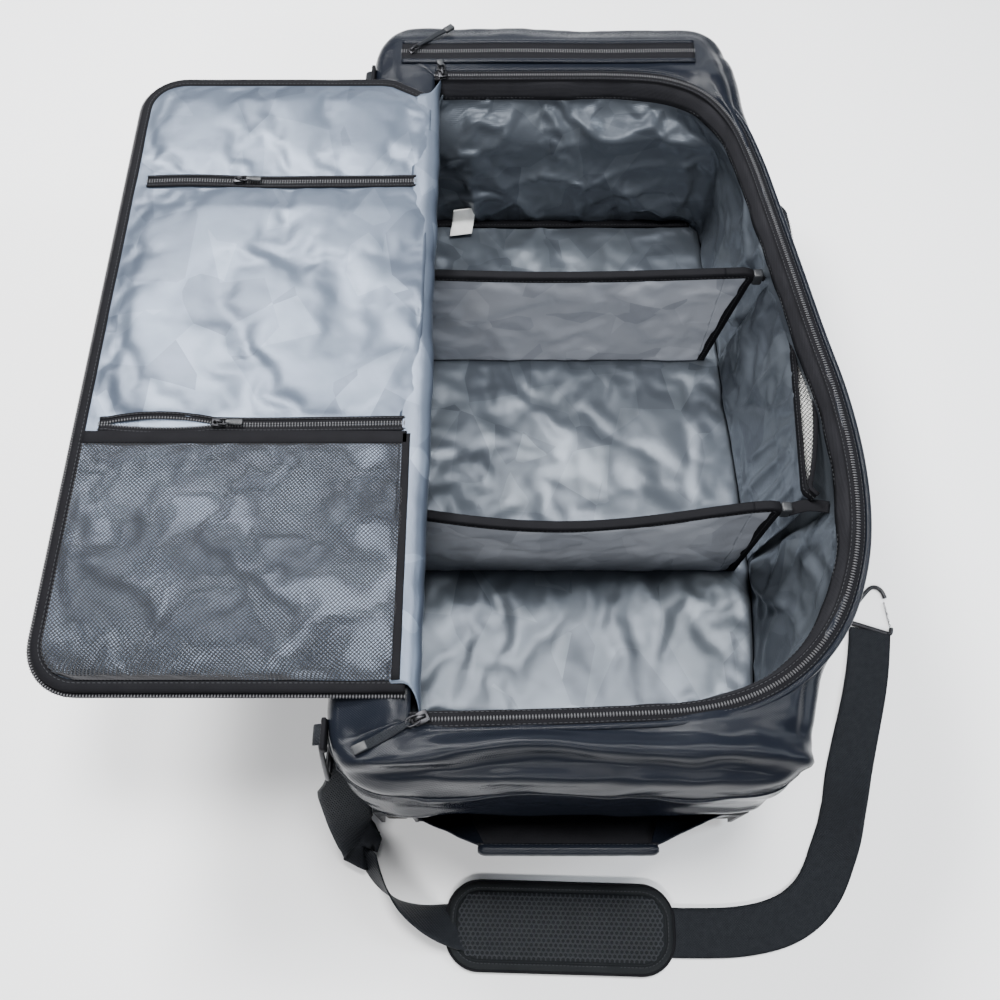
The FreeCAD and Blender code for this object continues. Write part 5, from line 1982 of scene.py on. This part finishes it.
# ---- zip sliders and pulls ----
def make_slider(name, body, spot, turn, size):
    """A cast slider: two plates, a post and a bridge."""
    work = bmesh.new()
    length, width = 0.0125 * size, 0.0090 * size
    outline = [(-0.5, -0.46), (-0.2, -0.5), (0.25, -0.42), (0.5, -0.26),
               (0.5, 0.26), (0.25, 0.42), (-0.2, 0.5), (-0.5, 0.46)]
    for z0, z1 in ((0.0, 0.0011), (0.0024, 0.0037)):
        rings = []
        for z in (z0 * size, z1 * size):
            rings.append([work.verts.new((x * length, y * width, z)) for x, y in outline])
        for i in range(len(outline)):
            j = (i + 1) % len(outline)
            work.faces.new((rings[0][i], rings[0][j], rings[1][j], rings[1][i]))
        work.faces.new(rings[0][::-1])
        work.faces.new(rings[1])
    bmesh.ops.bevel(work, geom=work.edges[:], offset=0.00035, segments=2, profile=0.5, affect="EDGES")
    plates = from_bmesh(work, name, DARK_METAL)
    bridge_line = [(-0.0040, 0, 0.0034), (-0.0036, 0, 0.0052), (-0.0014, 0, 0.0062), (0.0016, 0, 0.0062),
                   (0.0038, 0, 0.0052), (0.0042, 0, 0.0034)]
    bridge = sweep("bridge", np.array(smooth_path(bridge_line, 0.0006)) * size, (0, 1, 0),
                   flat_profile(-0.0007 * size, 0.0007 * size, -0.0012 * size, 0.0012 * size), DARK_METAL)
    post = bevel_box("post", (0.001 * size, -0.001 * size, 0.0008),
                     (0.004 * size, 0.001 * size, 0.003 * size), 0.0003, DARK_METAL)
    slider = join(name, [plates, bridge, post])
    set_coordinates(slider, turned_point(coordinates(slider), spot, turn))
    place(slider, body, "zip_metal", name.replace("_cast", ""))


def make_pull(name, body, spot, turn, reach, size, woven):
    """A wire link and a tab that lies along the slider's x."""
    z = 0.0046 * size
    link_line = [(0.0008, 0, 0), (0.0014, 0.0026, 0), (0.0075, 0.0030, 0), (0.0098, 0.0012, 0),
                 (0.0098, -0.0012, 0), (0.0075, -0.0030, 0), (0.0014, -0.0026, 0)]
    loop = np.array(smooth_path(link_line, 0.0008, closed=True))[:-1] * size
    loop[:, 2] = z
    parts = [sweep("link", loop, UP, round_profile(0.00075 * size, 8), DARK_METAL, closed=True)]
    x = np.linspace(0.0078 * size, reach, 40)
    share = (x - x[0]) / (x[-1] - x[0])
    half = 0.0034 * size * (0.55 + 0.45 * np.sin(np.clip(share * 1.6, 0, 1) * math.pi / 2))
    half *= 1 - 0.35 * np.clip((share - 0.93) / 0.07, 0, 1) ** 2
    ridge = 0.00025 * (np.sin(share * 60) > 0) * (share > 0.2) * (share < 0.85)
    thick = 0.0013 + ridge if not woven else np.full_like(x, 0.0011)
    drop = z * (1 - 0.45 * share) if woven else z * (1 - 0.25 * share)
    path = np.stack([x, 0.0015 * np.sin(share * 2.2) * woven, drop], axis=1)
    ring = np.array(round_profile(1.0, 12))
    ring = np.sign(ring) * np.abs(ring) ** 0.6
    profile = np.stack([ring[None, :, 0] * half[:, None], ring[None, :, 1] * thick[:, None]], axis=-1)
    parts.append(sweep("tab", path, UP, profile, WEBBING if woven else PLASTIC))
    tab = parts[1]
    tab.name = name + "_tab"
    node = name.replace("_assembly", "")
    for piece in parts:
        set_coordinates(piece, turned_point(coordinates(piece), spot, turn))
    parts[0].name = name + "_link"
    place(parts[0], body, "zip_metal", node)
    place(tab, body, "webbing" if woven else "zip_metal")
    if woven:
        end = path[-1] + np.array([-0.006, 0, 0])
        block_at = bevel_box("end", (-0.0065, -0.0042, -0.0021), (0.0065, 0.0042, 0.0021), 0.0012, PLASTIC)
        set_coordinates(block_at, turned_point(coordinates(block_at) + end, spot, turn))
        block_at.name = name + "_moulded_end"
        place(block_at, body, "zip_metal")


def make_zip_pieces():
    top = DECK + 0.002
    lid_top = LID_TOP + 0.002
    rows = [("near_main", "near", (-0.036, -0.3857, top), 205, 0.062, 1.25, True),
            ("far_main", "far", (-0.036, 0.384, top), 100, 0.020, 1.25, False),
            ("end_pocket", "end", (-0.072, 0.423, top), 40, 0.062, 1.0, True),
            ("upper_pocket", "upper", (-0.257, UPPER_ZIP_Y, lid_top), 0, 0.024, 1.0, False),
            ("mesh_pocket", "mesh", (-0.243, MESH_ZIP_Y, lid_top), 0, 0.024, 1.0, False)]
    for name, body, spot, turn, reach, size, woven in rows:
        angle = math.radians(turn)
        make_slider(name + "_slider_cast", body + "_slider", spot, angle, size)
        make_pull(name + "_pull_assembly", body + "_pull", spot, angle, reach, size, woven)


# ================= hard parts kept from the CAD model =================
def repaint(material, *names):
    """Gives CAD nodes that are kept as they are a better material."""
    for name in names:
        mesh = NODES[name].data
        mesh.materials.clear()
        mesh.materials.append(material)


def dress_hard_parts():
    repaint(PLASTIC, "base_board", "base_frame", "skid_rails_and_feet", "left_wheel_housing",
            "right_wheel_housing", "handle_bezel", "handle_grip", "handle_button",
            "left_wheel_hub_and_bearings", "right_wheel_hub_and_bearings")
    repaint(RUBBER, "left_wheel_tyre", "right_wheel_tyre")
    repaint(ALUMINIUM, "handle_outer_tubes", "handle_lower_tubes", "handle_upper_tubes")
    repaint(BRIGHT_METAL, "wheel_axles")
    repaint(TPU, "outer_base_panel")


def make_label_tab():
    u, v = unit_grid(12, 10)
    y = -0.218 + 0.032 * u
    z = 0.262 + 0.020 * v
    x = free_wall(y, z) + 0.0012 + 0.004 * np.sin(math.pi * u) * 0.4
    tab = sheet_object("side_tab", np.stack([x, y, z], axis=-1), FACING)
    thicken(tab, 0.0012, 0.0)
    place(tab, "bag", "binding")
    draw_in(tab)


make_pad()
make_haul_handle()
make_side_handles()
make_hook("left", "left_carabiner", "left_carabiner_gate", "left_gate")
make_hook("free", "free_carabiner", "free_carabiner_gate", "free_gate")
make_strap_loops()
make_zip_pieces()
dress_hard_parts()
make_label_tab()
